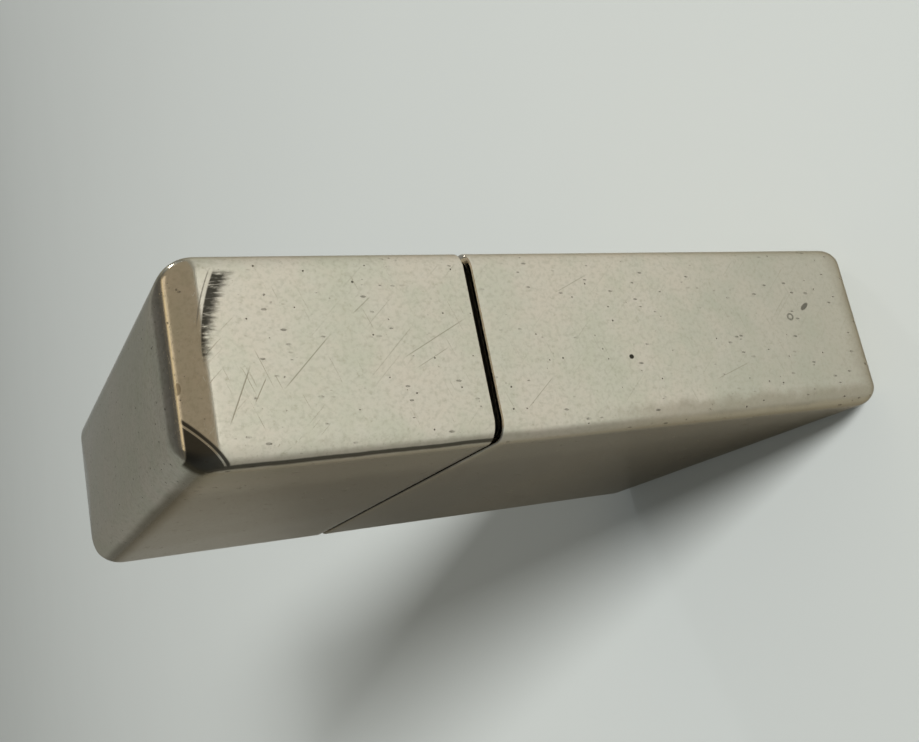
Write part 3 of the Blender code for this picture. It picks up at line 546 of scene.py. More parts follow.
class LighterShells(bpy.types.PropertyGroup):
    """Sizes of the case and the lid."""

    wall: length("Wall", "Thickness of the drawn shells", 0.65 * MM)
    upright_radius: length("Upright edges", "Radius of the four upright edges", 1.5 * MM)
    base_radius: length("Base edge", "Radius round the base", 2.2 * MM)
    top_radius: length("Top edge", "Radius round the lid's top", 2.6 * MM)
    rim_round: length("Rim rounding", "Radius on the edges of both rims", 0.13 * MM)
    crown: length("Crown", "How far the lid's top rises to its middle", 0.2 * MM)
    foot_ring: length("Foot ring", "Width of the ring the lighter stands on", 0.8 * MM)
    recess: length("Base recess", "Depth of the panel inside the foot ring", 0.35 * MM)
    waviness: length("Waviness", "Depth of the slow waves in the worn walls", 0.014 * MM)
    grid: length("Grid", "Distance between the points of the shells", 0.55 * MM)


class LighterInside(bpy.types.PropertyGroup):
    """Sizes of the inside unit."""

    tank_wall: length("Tank wall", "Thickness of the tank's sheet", 0.4 * MM)
    tank_radius: length("Tank edges", "Radius of the tank's upright edges", 1.2 * MM)
    tank_edge: length("Deck edge", "Radius round the deck", 0.9 * MM)
    shield_wall: length("Chimney wall", "Thickness of the chimney's sheet", 0.4 * MM)
    shield_radius: length("Chimney corners", "Radius of the chimney's corners", 2.4 * MM)
    ear_sheet: length("Ear sheet", "Thickness of the chimney's ears", 0.3 * MM)
    vent_radius: length("Vent radius", "Radius of a wind vent", 1.15 * MM)
    rim_teeth: count("Rim teeth", "Teeth round each thumb rim of the wheel", 20)
    file_teeth: count("File teeth", "Teeth round the wheel's file band", 44)
    spring_turns: count("Spring turns", "Turns of the flint spring", 22)
    wick_yarns: count("Wick yarns", "Yarns each way in the wick's braid", 8)


class LighterFinishes(bpy.types.PropertyGroup):
    """Colours of the finishes."""

    plate: colour("Plate", "Polished plate of the shells", (0.815, 0.75, 0.652))
    showing: colour("Worn through", "Metal that shows where the plate is gone", (0.84, 0.72, 0.50))
    stainless: colour("Stainless", "Sheet of the inside unit", (0.62, 0.62, 0.61))
    bright: colour("Bright steel", "Rivets, cam and springs", (0.64, 0.63, 0.61))
    wheel: colour("Wheel steel", "Hardened steel of the wheel", (0.22, 0.215, 0.21))
    brass: colour("Brass", "Flint tube, tip and screw", (0.78, 0.58, 0.27))
    flint: colour("Flint", "Sparking metal", (0.17, 0.165, 0.17))
    cotton: colour("Cotton", "Packing inside the tank", (0.84, 0.82, 0.76))
    wick: colour("Wick", "Yarns of the wick", (0.80, 0.76, 0.66))
    felt: colour("Felt", "Felt that closes the tank", (0.66, 0.66, 0.63))


class LighterStage(bpy.types.PropertyGroup):
    """Floor and light of the studio."""

    floor: colour("Floor", "Pale floor", (0.60, 0.632, 0.63))
    key_power: FloatProperty(name="Key light", description="Power of the lamps", default=1.0)
    room_power: FloatProperty(name="Room light", description="Strength of the room", default=1.0)


def shells():
    """The user's sizes of the case and the lid."""
    return bpy.context.scene.lighter_shells


def inside():
    """The user's sizes of the inside unit."""
    return bpy.context.scene.lighter_inside


def finishes():
    """The user's colours."""
    return bpy.context.scene.lighter_finishes


def tone_of(name):
    """One of the user's colours, as plain numbers."""
    return tuple(getattr(finishes(), name))


def shaded(tone, share):
    """A colour darkened to a share of itself."""
    return tuple(share * part for part in tone)


# Case and lid


NEAR_MIDDLE = 0.97
LEAST_CORNER = 0.5 * MM
WAVE_LENGTH = 11.0 * MM
RIM_STAYS_FLAT = 1.0 * MM
RIM_FADE = 3.0 * MM


def rim_profile(sizes, rim, side):
    """Rounded rim from the outer to the inner wall: a quarter round at each edge.

    Side is -1 where the wall hangs below the rim and 1 where it stands above.
    """
    r = sizes.rim_round
    turn = np.radians(np.linspace(0.0, 90.0, 5))
    outer = np.stack([r * (1 - np.cos(turn)), side * r * (1 - np.sin(turn))], -1)
    inner = np.stack([sizes.wall - r * (1 - np.sin(turn)), side * r * (1 - np.cos(turn))], -1)
    points = np.concatenate([outer, inner])
    points[:, 1] += rim
    return points


def rounding(radius, steps, inset=0.0):
    """(inset, drop) of a quarter round from a flat face to a side, the face first."""
    turn = np.radians(np.linspace(0.0, 90.0, steps + 1))
    return np.stack([inset + radius * (1 - np.sin(turn)), radius * (1 - np.cos(turn))], -1)


def with_least_radius(parts, least):
    """One profile from its parts, with the least corner radius as a third column."""
    profile = np.concatenate(parts)
    return np.concatenate([profile, np.full((len(profile), 1), least)], axis=1)


def case_profile(sizes):
    """Middle of the base, recess, foot ring, base edge, wall, rim, inner wall, inner floor."""
    middle = NEAR_MIDDLE * CASE_HIGH.y
    ring = sizes.base_radius + sizes.foot_ring
    panel = ring + sizes.recess
    levels = int((CASE_HIGH.z - CASE_LOW.z) / sizes.grid)
    base = line((middle, sizes.recess), (panel, sizes.recess), 6)
    step = line((panel, sizes.recess), (ring, 0.0), 3)[1:]
    edge = rounding(sizes.base_radius, 14)
    rim = rim_profile(sizes, CASE_HIGH.z, -1.0)
    wall = line(edge[-1], rim[0], levels)[1:-1]
    inner_edge = rounding(sizes.base_radius - sizes.wall, 8, sizes.wall)[::-1]
    inner_edge[:, 1] += sizes.wall
    inner_wall = line(rim[-1], inner_edge[0], levels // 2)[1:-1]
    floor = line((ring, sizes.wall), (panel, sizes.wall + sizes.recess), 2)
    centre = np.array([(middle, sizes.wall + sizes.recess)])
    parts = [base, step, edge, wall, rim, inner_wall, inner_edge, floor, centre]
    return with_least_radius(parts, LEAST_CORNER)


def lid_profile(sizes):
    """Middle of the top, crowned face, top edge, wall, rim, inner wall and inner top."""
    top = LID_HIGH.z - sizes.crown
    middle = NEAR_MIDDLE * LID_HIGH.y
    levels = int((LID_HIGH.z - LID_LOW.z) / sizes.grid)
    share = np.linspace(0.0, 1.0, 13)[:-1]
    inset = middle + share * (sizes.top_radius - middle)
    crowned = np.stack([inset, LID_HIGH.z - sizes.crown * share**2], -1)
    edge = rounding(sizes.top_radius, 18)
    edge[:, 1] = top - edge[:, 1]
    rim = rim_profile(sizes, LID_LOW.z, 1.0)
    wall = line(edge[-1], rim[0], levels)[1:-1]
    inner_edge = rounding(sizes.top_radius - sizes.wall, 8, sizes.wall)[::-1]
    inner_edge[:, 1] = top - sizes.wall - inner_edge[:, 1]
    inner_wall = line(rim[-1], inner_edge[0], levels // 2)[1:-1]
    centre = np.array([(middle, top - sizes.wall)])
    parts = [crowned, edge, wall, rim, inner_wall, inner_edge, centre]
    return with_least_radius(parts, LEAST_CORNER)


def pressed_in(points, columns, profile, sizes, seed):
    """Press the outer wall in by a slow random wave that fades out towards the rim."""
    outside = (profile[:, 0] < sizes.rim_round / 2)[:, None]
    from_rim = np.abs(points[..., 2] - HINGE.z)
    fade = np.clip((from_rim - RIM_STAYS_FLAT) / RIM_FADE, 0.0, 1.0)
    wave = np.clip(smooth_noise(points, WAVE_LENGTH, seed), -1.0, 1.0)
    amount = 0.5 * sizes.waviness * (1.0 + wave) * fade * outside
    direction = np.concatenate([columns[:, 2:4], np.zeros((len(columns), 1))], axis=1)
    return points - direction[None, :, :] * amount[..., None]


def build_shell(name, profile, material, seed):
    """A drawn shell: rounded rectangles along a wall profile, with room for the knuckles."""
    sizes = shells()
    long_count = int(2 * CASE_HIGH.x / sizes.grid)
    short_count = int(2 * CASE_HIGH.y / sizes.grid)
    columns = outline_columns(long_count, short_count, 10)
    radius = sizes.upright_radius
    points = stacked_outline(columns, CASE_HIGH.x, CASE_HIGH.y, radius, profile)
    points = pressed_in(points, columns, profile, sizes, seed)
    piece = make_piece(name, [(points, False, True)], material)
    room = KNUCKLE_HIGH.z - HINGE.z + KNUCKLE_CLEARANCE
    reach = KNUCKLE_HIGH.y + KNUCKLE_CLEARANCE
    hole = ((HINGE.x, 0.0, HINGE.z), room, -reach, reach)
    carve(piece, [round_tool("knuckle_room", [hole], "Y", 96)])
    even_shading(piece)
    return piece


# Hinge


def knuckle_bounds(index):
    """Start and end along Y of a knuckle, counted from the front."""
    long = (KNUCKLE_HIGH.y - KNUCKLE_LOW.y - (KNUCKLES - 1) * KNUCKLE_GAP) / KNUCKLES
    start = KNUCKLE_LOW.y + index * (long + KNUCKLE_GAP)
    return start, start + long


def build_leaf(node, name, side, missing, material):
    """A strip rolled most of a turn round the pin, notched for the other leaf's knuckles.

    Side is -1 for the leaf that goes down into the case and 1 for the lid's.
    """
    low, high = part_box(node)
    outer = high.x - HINGE.x
    bore = outer - HINGE_SHEET
    reach = HINGE.z - low.z if side < 0 else high.z - HINGE.z
    roll = arc((0.0, 0.0), outer, 0.0, ROLL_TURN, 48)
    inner = arc((0.0, 0.0), bore, ROLL_TURN, 0.0, 48)
    outline = np.concatenate([[(outer, -reach)], roll, inner, [(bore, -reach)]])
    outline = np.array((HINGE.x, HINGE.z)) + outline * (1.0, -side)
    leaf = extruded(name, [outline], low.y, high.y, material)
    near = HINGE.z + side * LEAF_CLEARANCE
    far = HINGE.z - side * 2 * outer
    tools = []
    for index in missing:
        start, end = knuckle_bounds(index)
        box_low = (HINGE.x - 2 * outer, start - KNUCKLE_GAP, min(near, far))
        box_high = (HINGE.x + 2 * outer, end + KNUCKLE_GAP, max(near, far))
        tools.append(box_tool("notch", box_low, box_high))
    carve(leaf, tools)
    soften_edges(leaf, FINE_BEVEL)
    even_shading(leaf)
    return leaf


def round_end_profile(radius, low, high, edge):
    """Rod from low to high whose ends are rounded off by an edge radius."""
    start = rounding(edge, 5)
    core = 0.3 * radius
    foot = np.stack([radius - start[:, 0], low + start[:, 1]], -1)
    head = np.stack([radius - start[::-1, 0], high - start[::-1, 1]], -1)
    return np.concatenate([[(core, low)], foot, head, [(core, high)]])


# Tank and chimney


def tank_profile(sizes):
    """Middle of the deck, deck edge, wall, open bottom rim, inner wall, underside of the deck."""
    middle = 0.9 * TANK_HIGH.y
    deck, bottom, wall = TANK_HIGH.z, TANK_LOW.z, sizes.tank_wall
    bevel = 0.05 * MM
    edge = rounding(sizes.tank_edge, 8)
    edge[:, 1] = deck - edge[:, 1]
    rim = np.array([(bevel, bottom), (wall - bevel, bottom)])
    outer_wall = line(edge[-1], (0.0, bottom + bevel), 40)[1:]
    inner_edge = rounding(sizes.tank_edge - wall, 5, wall)[::-1]
    inner_edge[:, 1] = deck - wall - inner_edge[:, 1]
    inner_wall = line((wall, bottom + bevel), inner_edge[0], 20)[:-1]
    top = line((middle, deck), edge[0], 5)[:-1]
    under = np.array([(middle, deck - wall)])
    parts = [top, edge, outer_wall, rim, inner_wall, inner_edge, under]
    return with_least_radius(parts, 0.3 * MM)


def build_tank(material):
    """Drawn tank, open below, with holes in its deck for the tube, the wick, a rivet and the cam."""
    sizes = inside()
    half_x, half_y = (TANK_HIGH.x - TANK_LOW.x) / 2, TANK_HIGH.y
    centre_x = (TANK_HIGH.x + TANK_LOW.x) / 2
    columns = outline_columns(60, 20, 8)
    profile = tank_profile(sizes)
    points = stacked_outline(columns, half_x, half_y, sizes.tank_radius, profile, (centre_x, 0.0))
    tank = make_piece("tank_drawn", [(points, False, True)], material)
    low, high = TANK_HIGH.z - 2 * MM, TANK_HIGH.z + 1 * MM
    wick_hole = WICK_RADIUS + 2 * FIT
    holes = [
        ((WHEEL.x, 0.0, 0.0), TUBE_RADIUS + FIT, low, high),
        ((SHIELD_X, 0.0, 0.0), wick_hole, low, high),
        ((RIVET_X, 0.0, 0.0), RIVET_RADIUS + FIT, low, high),
    ]
    slot_half_x, slot_half_y = 1.3 * MM, 1.75 * MM
    slot_low = (CAM_PIVOT.x - slot_half_x, -slot_half_y, low)
    slot_high = (CAM_PIVOT.x + slot_half_x, slot_half_y, high)
    carve(tank, [round_tool("deck_holes", holes, "Z", 48), box_tool("slot", slot_low, slot_high)])
    soften_edges(tank, FINE_BEVEL, 50.0)
    even_shading(tank)
    return tank


def wheel_ear():
    """Outline (x, z) of the sheet from the chimney to the wheel's axle."""
    foot = SHIELD_LOW.z + FIT
    inner = SHIELD_RIGHT - inside().shield_radius - EAR_LAP
    boss = arc((WHEEL.x, WHEEL.z), WHEEL_EAR_RADIUS, -25.0, 80.0, 16)
    throat = arc((SHIELD_RIGHT + 1.6 * MM, WHEEL.z + 4.6 * MM), 1.9 * MM, 285.0, 200.0, 12)
    top = [(SHIELD_RIGHT - 0.6 * MM, SHIELD_HIGH.z - 2.2 * MM), (inner, SHIELD_HIGH.z - 1.5 * MM)]
    return np.concatenate([[(inner, foot), (WHEEL.x + 2.6 * MM, foot)], boss, throat, top])


def cam_ear():
    """Outline (x, z) of the sheet from the chimney to the cam's pin."""
    foot = SHIELD_LOW.z + FIT
    inner = SHIELD_LEFT + inside().shield_radius + EAR_LAP
    pivot = (CAM_PIVOT.x, CAM_PIVOT.z)
    throat = arc((SHIELD_LEFT - 1.4 * MM, pivot[1] + 4.2 * MM), 1.7 * MM, 0.0, -80.0, 12)
    boss = arc(pivot, CAM_EAR_RADIUS, 80.0, 190.0, 16)
    top = [(inner, foot), (inner, pivot[1] + 7.0 * MM), (SHIELD_LEFT + 0.6 * MM, pivot[1] + 6.0 * MM)]
    return np.concatenate([top, throat, boss, [(pivot[0] - 2.4 * MM, foot)]])


def vent_centres():
    """Three columns of three, two and three vents on each broad side."""
    pitch_x, pitch_z, top = 4.3 * MM, 4.2 * MM, SHIELD_HIGH.z - 3.0 * MM
    centres = []
    for column, vents in ((-1, 3), (0, 2), (1, 3)):
        for row in range(vents):
            level = top - (row + (3 - vents) / 2) * pitch_z
            centres.append((SHIELD_X + column * pitch_x, level))
    return centres


def build_shield(material):
    """Flat tube with rounded corners, ears joined to its broad walls, vents and pin holes."""
    sizes = inside()
    edge = FINE_BEVEL
    low, high, wall = SHIELD_LOW.z, SHIELD_HIGH.z, sizes.shield_wall
    outer = line((0.0, low + edge), (0.0, high - edge), 30)
    inner = line((wall, high - edge), (wall, low + edge), 30)
    top_rim = [(edge, high), (wall - edge, high)]
    foot_rim = [(wall - edge, low), (edge, low)]
    profile = with_least_radius([outer, top_rim, inner, foot_rim], 0.3 * MM)
    columns = outline_columns(28, 12, 12)
    radius, centre = sizes.shield_radius, (SHIELD_X, 0.0)
    points = stacked_outline(columns, SHIELD_HALF_X, SHIELD_HALF_Y, radius, profile, centre)
    shield = make_piece("wind_shield", [(points, True, True)], material)
    inner_y = SHIELD_HALF_Y - wall + FIT
    outer_y = inner_y + sizes.ear_sheet
    ears = [wheel_ear(), cam_ear()]
    for sign in (-1, 1):
        low_y, high_y = sorted((sign * inner_y, sign * outer_y))
        carve(shield, [extruded("ears", ears, low_y, high_y)], "UNION")
    reach = 2 * SHIELD_HALF_Y
    holes = [((x, 0.0, z), sizes.vent_radius, -reach, reach) for x, z in vent_centres()]
    holes.append((tuple(WHEEL), AXLE_RADIUS + FIT, -reach, reach))
    holes.append((tuple(CAM_PIVOT), CAM_PIN_RADIUS + FIT, -reach, reach))
    carve(shield, [round_tool("vents", holes, "Y", 40)])
    soften_edges(shield, FINE_BEVEL, 40.0)
    even_shading(shield)
    return shield


# Wheel, rivets, cam and its spring


def sawtooth(phase):
    """Slow rise and quick fall once for each unit of phase, from 0 to 1."""
    share = phase - np.floor(phase)
    rising = 0.75
    return np.where(share < rising, share / rising, (1.0 - share) / (1.0 - rising))


def wheel_rows():
    """(y, radius, share of rim teeth, share of file teeth) from bore to bore over one wheel."""
    half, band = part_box("spark_wheel")[1].y, WHEEL_FILE_HALF
    rim, bore = WHEEL_RIM_RADIUS, AXLE_RADIUS + FIT
    hub, dish, bevel = 1.55 * MM, 0.12 * MM, 0.15 * MM
    groove = rim - 0.62 * MM
    face = [(half, bore, 0, 0), (half, hub, 0, 0), (half - dish, hub + bevel, 0, 0)]
    face += [(half - dish, rim - 0.55 * MM, 0, 0), (half, rim - 0.35 * MM, 0.25, 0)]
    face += [(half - bevel, rim, 1, 0)]
    face += [(y, rim, 1, 0) for y in np.linspace(half - 0.3 * MM, band + 0.42 * MM, 4)]
    face += [(band + 0.34 * MM, groove, 0, 0), (band + 0.14 * MM, groove, 0, 0)]
    file_rows = [(y, WHEEL_FILE_RADIUS, 0, 1) for y in np.linspace(band, -band, 29)]
    far_side = [(-y, *rest) for y, *rest in face[::-1]]
    return np.array(face + file_rows + far_side)


def build_wheel(material):
    """Wheel whose radius falls by a sawtooth: coarse on the rims, fine and crossed on the file.

    The file's teeth lean one way on its front half and the other way on its back half, and are
    notched crosswise where the sine of y nears 1 or -1.
    """
    sizes = inside()
    rim_depth, file_depth, notch_depth = 0.22 * MM, 0.15 * MM, 0.06 * MM
    rows = wheel_rows()
    y, radius, rim_share, file_share = (rows[:, i][:, None] for i in range(4))
    angle = np.linspace(0.0, 2 * math.pi, 440, endpoint=False)[None, :]
    turn = angle / (2 * math.pi)
    rim_teeth = rim_depth * (1.0 - sawtooth(turn * sizes.rim_teeth))
    lean = np.abs(y) / MM * 0.55
    file_teeth = file_depth * (1.0 - sawtooth(turn * sizes.file_teeth + lean))
    notches = notch_depth * (np.abs(np.sin(y / MM * 7.5)) > 0.93)
    reach = radius - rim_share * rim_teeth - file_share * (file_teeth + notches)
    x = WHEEL.x + reach * np.cos(angle)
    z = WHEEL.z + reach * np.sin(angle)
    points = np.stack([x, np.broadcast_to(y, x.shape), z], -1)
    return shaded_piece("wheel_toothed", [(points, True, True)], material, sharp=28.0)


def rivet_half(shank, head, inner, outer):
    """(radius, distance) of half a rivet: shank, underside, edge and low dome with a dimple."""
    edge = 0.4 * (outer - inner)
    dimple = 0.35 * (outer - inner)
    turn = np.radians(np.linspace(0.0, 86.0, 12))
    radius = head * np.cos(turn)
    rise = inner + edge + (outer - inner - edge) * np.sin(turn)
    rise -= dimple * np.exp(-((radius / (0.32 * head)) ** 2))
    dome = np.stack([radius, rise], -1)
    start = [(shank, 0.0), (shank, inner), (head - FIT, inner), (head, inner + FIT)]
    return np.concatenate([start, dome])


def mirrored(half):
    """A whole rivet's profile from its upper half, the lower one first."""
    return np.concatenate([half[::-1] * (1.0, -1.0), half[1:]])


def build_cross_rivet(node, name, shank, material):
    """Rivet along Y with a low domed head outside each ear."""
    low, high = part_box(node)
    head, head_height = (high.x - low.x) / 2, 0.4 * MM
    centre = ((low.x + high.x) / 2, 0.0, (low.z + high.z) / 2)
    half = rivet_half(shank, head, high.y - head_height, high.y)
    points = turned(mirrored(half), centre, "Y", 56)
    return shaded_piece(name, [(points, False, True)], material)


def build_deck_rivet(name, material):
    """Upright rivet through the deck that holds the leaf spring under it."""
    head, head_height = (RIVET_HIGH.x - RIVET_LOW.x) / 2, 0.35 * MM
    middle = (RIVET_HIGH.z + RIVET_LOW.z) / 2
    reach = (RIVET_HIGH.z - RIVET_LOW.z) / 2
    half = rivet_half(RIVET_RADIUS, head, reach - head_height, reach)
    points = turned(mirrored(half), (RIVET_X, 0.0, middle), "Z", 44)
    return shaded_piece(name, [(points, False, True)], material)


def cam_outline():
    """Nose, round foot and hub of the cam lever as (x, z) points."""
    pivot = (CAM_PIVOT.x, CAM_PIVOT.z)
    nose = (CAM_LOW.x + CAM_NOSE_RADIUS, CAM_PIVOT.z + 1.8 * MM)
    lean = math.degrees(math.atan2(nose[1] - pivot[1], nose[0] - pivot[0]))
    nose_round = arc(nose, CAM_NOSE_RADIUS, lean - 90.0, lean + 80.0, 20)
    foot_round = arc(pivot, CAM_FOOT_RADIUS, 235.0, 305.0, 16)
    hub_round = arc(pivot, CAM_HUB_RADIUS, 330.0, 430.0, 20)
    return np.concatenate([nose_round, foot_round, hub_round])


def build_cam(material):
    """Folded sheet: the outline's prism with a pocket that leaves two cheeks and a web."""
    sheet, half = CAM_SHEET, CAM_HIGH.y
    outline = cam_outline()
    cam = extruded("cam_folded", [outline], -half, half, material)
    pocket = extruded("pocket", [outline + (sheet, -sheet)], sheet - half, half - sheet)
    hole = (tuple(CAM_PIVOT), CAM_PIN_RADIUS + FIT, -2 * half, 2 * half)
    carve(cam, [pocket, round_tool("bore", [hole], "Y", 48)])
    soften_edges(cam, 0.09 * MM)
    even_shading(cam)
    return cam


def smooth_path(points, steps):
    """Curve through all points: between two of them, a cubic whose slope at each is half the
    way from the point before to the point after."""
    points = np.asarray(points, float)
    padded = np.concatenate([2 * points[:1] - points[1:2], points, 2 * points[-1:] - points[-2:-1]])
    before, start, end, after = padded[:-3], padded[1:-2], padded[2:-1], padded[3:]
    t = np.linspace(0.0, 1.0, steps, endpoint=False)[None, :, None]
    before, start, end, after = (part[:, None, :] for part in (before, start, end, after))
    curve = 0.5 * (
        2 * start
        + (end - before) * t
        + (2 * before - 5 * start + 4 * end - after) * t**2
        + (3 * start - before - 3 * end + after) * t**3
    )
    return np.concatenate([curve.reshape(-1, points.shape[1]), points[-1:]])


def build_cam_spring(material):
    """Leaf spring: a flat strip carried along a smooth path under the deck."""
    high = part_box("cam_spring")[1]
    sheet = LEAF_SPRING_SHEET
    root = TANK_HIGH.z - inside().tank_wall - 2 * FIT - sheet / 2
    route = [
        (high.x, root),
        (RIVET_X, root),
        (RIVET_X - 1.3 * MM, root),
        (CAM_PIVOT.x + 3.4 * MM, root - 0.55 * MM),
        (CAM_PIVOT.x + 1.0 * MM, root - 0.65 * MM),
        (CAM_PIVOT.x - 0.15 * MM, root - 0.25 * MM),
        (CAM_PIVOT.x - 0.1 * MM, high.z - 0.03 * MM),
    ]
    flat = smooth_path(route, 12)
    path = np.stack([flat[:, 0], np.zeros(len(flat)), flat[:, 1]], -1)
    across = np.broadcast_to(np.array([0.0, 1.0, 0.0]), path.shape)
    section = rounded_section(2 * high.y, sheet, 0.08 * MM)
    spring = make_piece("leaf_spring", [(swept(path, section, across), False, True)], material)
    hole = ((RIVET_X, 0.0, 0.0), RIVET_RADIUS + FIT, root - MM, root + MM)
    carve(spring, [round_tool("hole", [hole], "Z", 40)])
    even_shading(spring)
    return spring


# Flint feed


def build_flint_tube(material):
    """Tube with rounded ends, its bore wider by a short lead at both."""
    outer, bore, edge = TUBE_RADIUS, TUBE_BORE_RADIUS, 0.15 * MM
    low, high = TUBE_LOW.z, TUBE_HIGH.z
    lead, widening, lip = 0.3 * MM, 0.05 * MM, 0.02 * MM
    wall = line((outer, low + edge), (outer, high - edge), 12)
    inner = line((bore, high - lead), (bore, low + lead), 12)
    ends = [(bore + widening, high - lip), (bore + widening, low + lip)]
    lips = [(outer - edge / 3, high - edge / 4), (outer - edge, high)]
    feet = [(outer - edge, low), (outer - edge / 3, low + edge / 4)]
    profile = np.concatenate([wall, lips, ends[:1], inner, ends[1:], feet])
    points = turned(profile, (WHEEL.x, 0.0, 0.0), "Z", 64)
    return shaded_piece("tube_drawn", [(points, True, True)], material)


def build_flint(material):
    """Cast rod with a slightly uneven side and a worn top edge."""
    low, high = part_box("flint")
    radius, end = high.y, 0.2 * MM
    profile = round_end_profile(radius, low.z, high.z, 0.14 * MM)
    body = line((radius, low.z + end), (radius, high.z - end), 18)
    profile = np.concatenate([profile[:7], body, profile[-7:]])

    def uneven(angle, height):
        """Up to 0.04 mm off the radius, by a smooth field round the rod."""
        across, along = np.cos(angle) * radius, np.sin(angle) * radius
        spots = np.stack(np.broadcast_arrays(across, along, height), -1)
        return -0.02 * MM * (1.0 + np.clip(smooth_noise(spots, 0.9 * MM, 5), -1.0, 1.0))

    points = turned(profile, (WHEEL.x, 0.0, 0.0), "Z", 48, uneven)
    return shaded_piece("flint_rod", [(points, False, True)], material)


def build_plunger(material):
    """Disc under the flint with a stem that goes down into the spring."""
    low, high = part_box("flint_plunger")
    head, stem = high.y, 0.7 * MM
    shoulder = high.z - 0.8 * MM
    tip = rounding(0.3 * MM, 6)
    foot = np.stack([stem - tip[:, 0], low.z + tip[:, 1]], -1)
    crown = rounding(0.2 * MM, 6)[::-1]
    top = np.stack([head - crown[:, 0], high.z - crown[:, 1]], -1)
    step = [(stem, shoulder), (head, shoulder)]
    profile = np.concatenate([[(0.1 * MM, low.z)], foot, step, top, [(0.2 * MM, high.z)]])
    points = turned(profile, (WHEEL.x, 0.0, 0.0), "Z", 48)
    return shaded_piece("spring_tip", [(points, False, True)], material)


def build_flint_spring(material):
    """Coil spring: a round wire along a helix, with closed coils at both ends.

    Height grows by the dead pitch for the first and last turns and evenly between.
    """
    low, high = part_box("flint_spring")
    turns, dead, wire = inside().spring_turns, 1.25, COIL_WIRE_RADIUS
    coil = high.y - wire
    dead_rise = 2.1 * wire * dead
    turn = np.linspace(0.0, turns, turns * 28 + 1)
    bottom, top = low.z + wire, high.z - wire
    levels = [bottom, bottom + dead_rise, top - dead_rise, top]
    height = np.interp(turn, [0.0, dead, turns - dead, turns], levels)
    angle = 2 * math.pi * turn
    outward = np.stack([np.cos(angle), np.sin(angle), np.zeros_like(angle)], -1)
    path = outward * coil + np.stack([np.full_like(angle, WHEEL.x), 0 * angle, height], -1)
    points = swept(path, round_section(wire, 10), outward)
    return shaded_piece("spring_coiled", [(points, False, True)], material)


def build_flint_screw(material):
    """Slotted head, a thread whose crest climbs one pitch a turn, and a spigot for the spring."""
    low, high = SCREW_LOW.z, SCREW_HIGH.z
    head, root, crest, spigot = SCREW_HIGH.y, 1.06 * MM, 1.28 * MM, 0.7 * MM
    head_top, shoulder = low + 1.45 * MM, high - 1.6 * MM
    start, end = head_top + 0.4 * MM, shoulder - 0.2 * MM
    threads = 8
    pitch = (end - start) / threads
    rim = rounding(0.2 * MM, 5)
    foot = np.stack([head - rim[:, 0], low + rim[:, 1]], -1)
    crown = np.stack([head - rim[::-1, 0], head_top - rim[::-1, 1]], -1)
    thread = line((root, start), (root, end), 110)
    tip = rounding(0.2 * MM, 5)[::-1]
    nose = np.stack([spigot - tip[:, 0], high - tip[:, 1]], -1)
    head_part = [[(0.2 * MM, low)], foot, crown, [(root, head_top)]]
    end_part = [[(root, shoulder), (spigot, shoulder)], nose, [(0.1 * MM, high)]]
    profile = np.concatenate([*head_part, thread, *end_part])

    def ridge(angle, height):
        """A flattened wave of the height less the turn, once a pitch, that fades at both ends."""
        phase = (height - start) / pitch - angle / (2 * math.pi)
        wave = np.abs(2 * (phase - np.floor(phase)) - 1.0)
        fade = np.clip(np.minimum(height - start, end - height) / (0.5 * pitch), 0.0, 1.0)
        return (crest - root) * np.clip(1.5 * wave - 0.25, 0.0, 1.0) * fade

    points = turned(profile, (WHEEL.x, 0.0, 0.0), "Z", 56, ridge)
    screw = make_piece("screw_threaded", [(points, False, True)], material)
    slot_half, slot_depth = 0.4 * MM, 0.7 * MM
    slot_low = (WHEEL.x - slot_half, -2 * head, low - MM)
    slot_high = (WHEEL.x + slot_half, 2 * head, low + slot_depth)
    carve(screw, [box_tool("slot", slot_low, slot_high)])
    soften_edges(screw, FINE_BEVEL, 50.0)
    even_shading(screw)
    return screw


# Wick, packing and felt


def level_between(lower, upper):
    """Height halfway between the top of one wad and the underside of the next."""
    return (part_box(lower)[1].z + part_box(upper)[0].z) / 2


def wick_path():
    """Down the chimney, then to and fro between the wads, as evenly spaced points."""
    runs = [
        level_between("packing_bottom", "packing_lower"),
        level_between("packing_lower", "packing_middle"),
        level_between("packing_middle", "packing_upper_left"),
    ]
    bend = (runs[1] - runs[0]) / 2
    drop = 2.4 * MM
    right = WICK_HIGH.x - WICK_RADIUS - bend
    left = WICK_LOW.x + WICK_RADIUS + bend
    parts = [
        line((SHIELD_X, WICK_HIGH.z), (SHIELD_X, runs[2] + drop), 60),
        arc((SHIELD_X + drop, runs[2] + drop), drop, 180.0, 270.0, 20),
        line((SHIELD_X + drop, runs[2]), (right, runs[2]), 20),
        arc((right, runs[2] - bend), bend, 90.0, -90.0, 40),
        line((right, runs[1]), (left, runs[1]), 60),
        arc((left, runs[1] - bend), bend, 90.0, 270.0, 40),
        line((left, runs[0]), (right, runs[0]), 60),
    ]
    route = np.concatenate(parts)
    step = np.linalg.norm(np.diff(route, axis=0), axis=1)
    route = route[np.concatenate([[True], step > WELD])]
    travelled = np.concatenate([[0.0], np.cumsum(np.linalg.norm(np.diff(route, axis=0), axis=1))])
    spacing = 0.22 * MM
    even = np.linspace(0.0, travelled[-1], int(travelled[-1] / spacing))
    x = np.interp(even, travelled, route[:, 0])
    z = np.interp(even, travelled, route[:, 1])
    return np.stack([x, np.zeros_like(x), z], -1), even


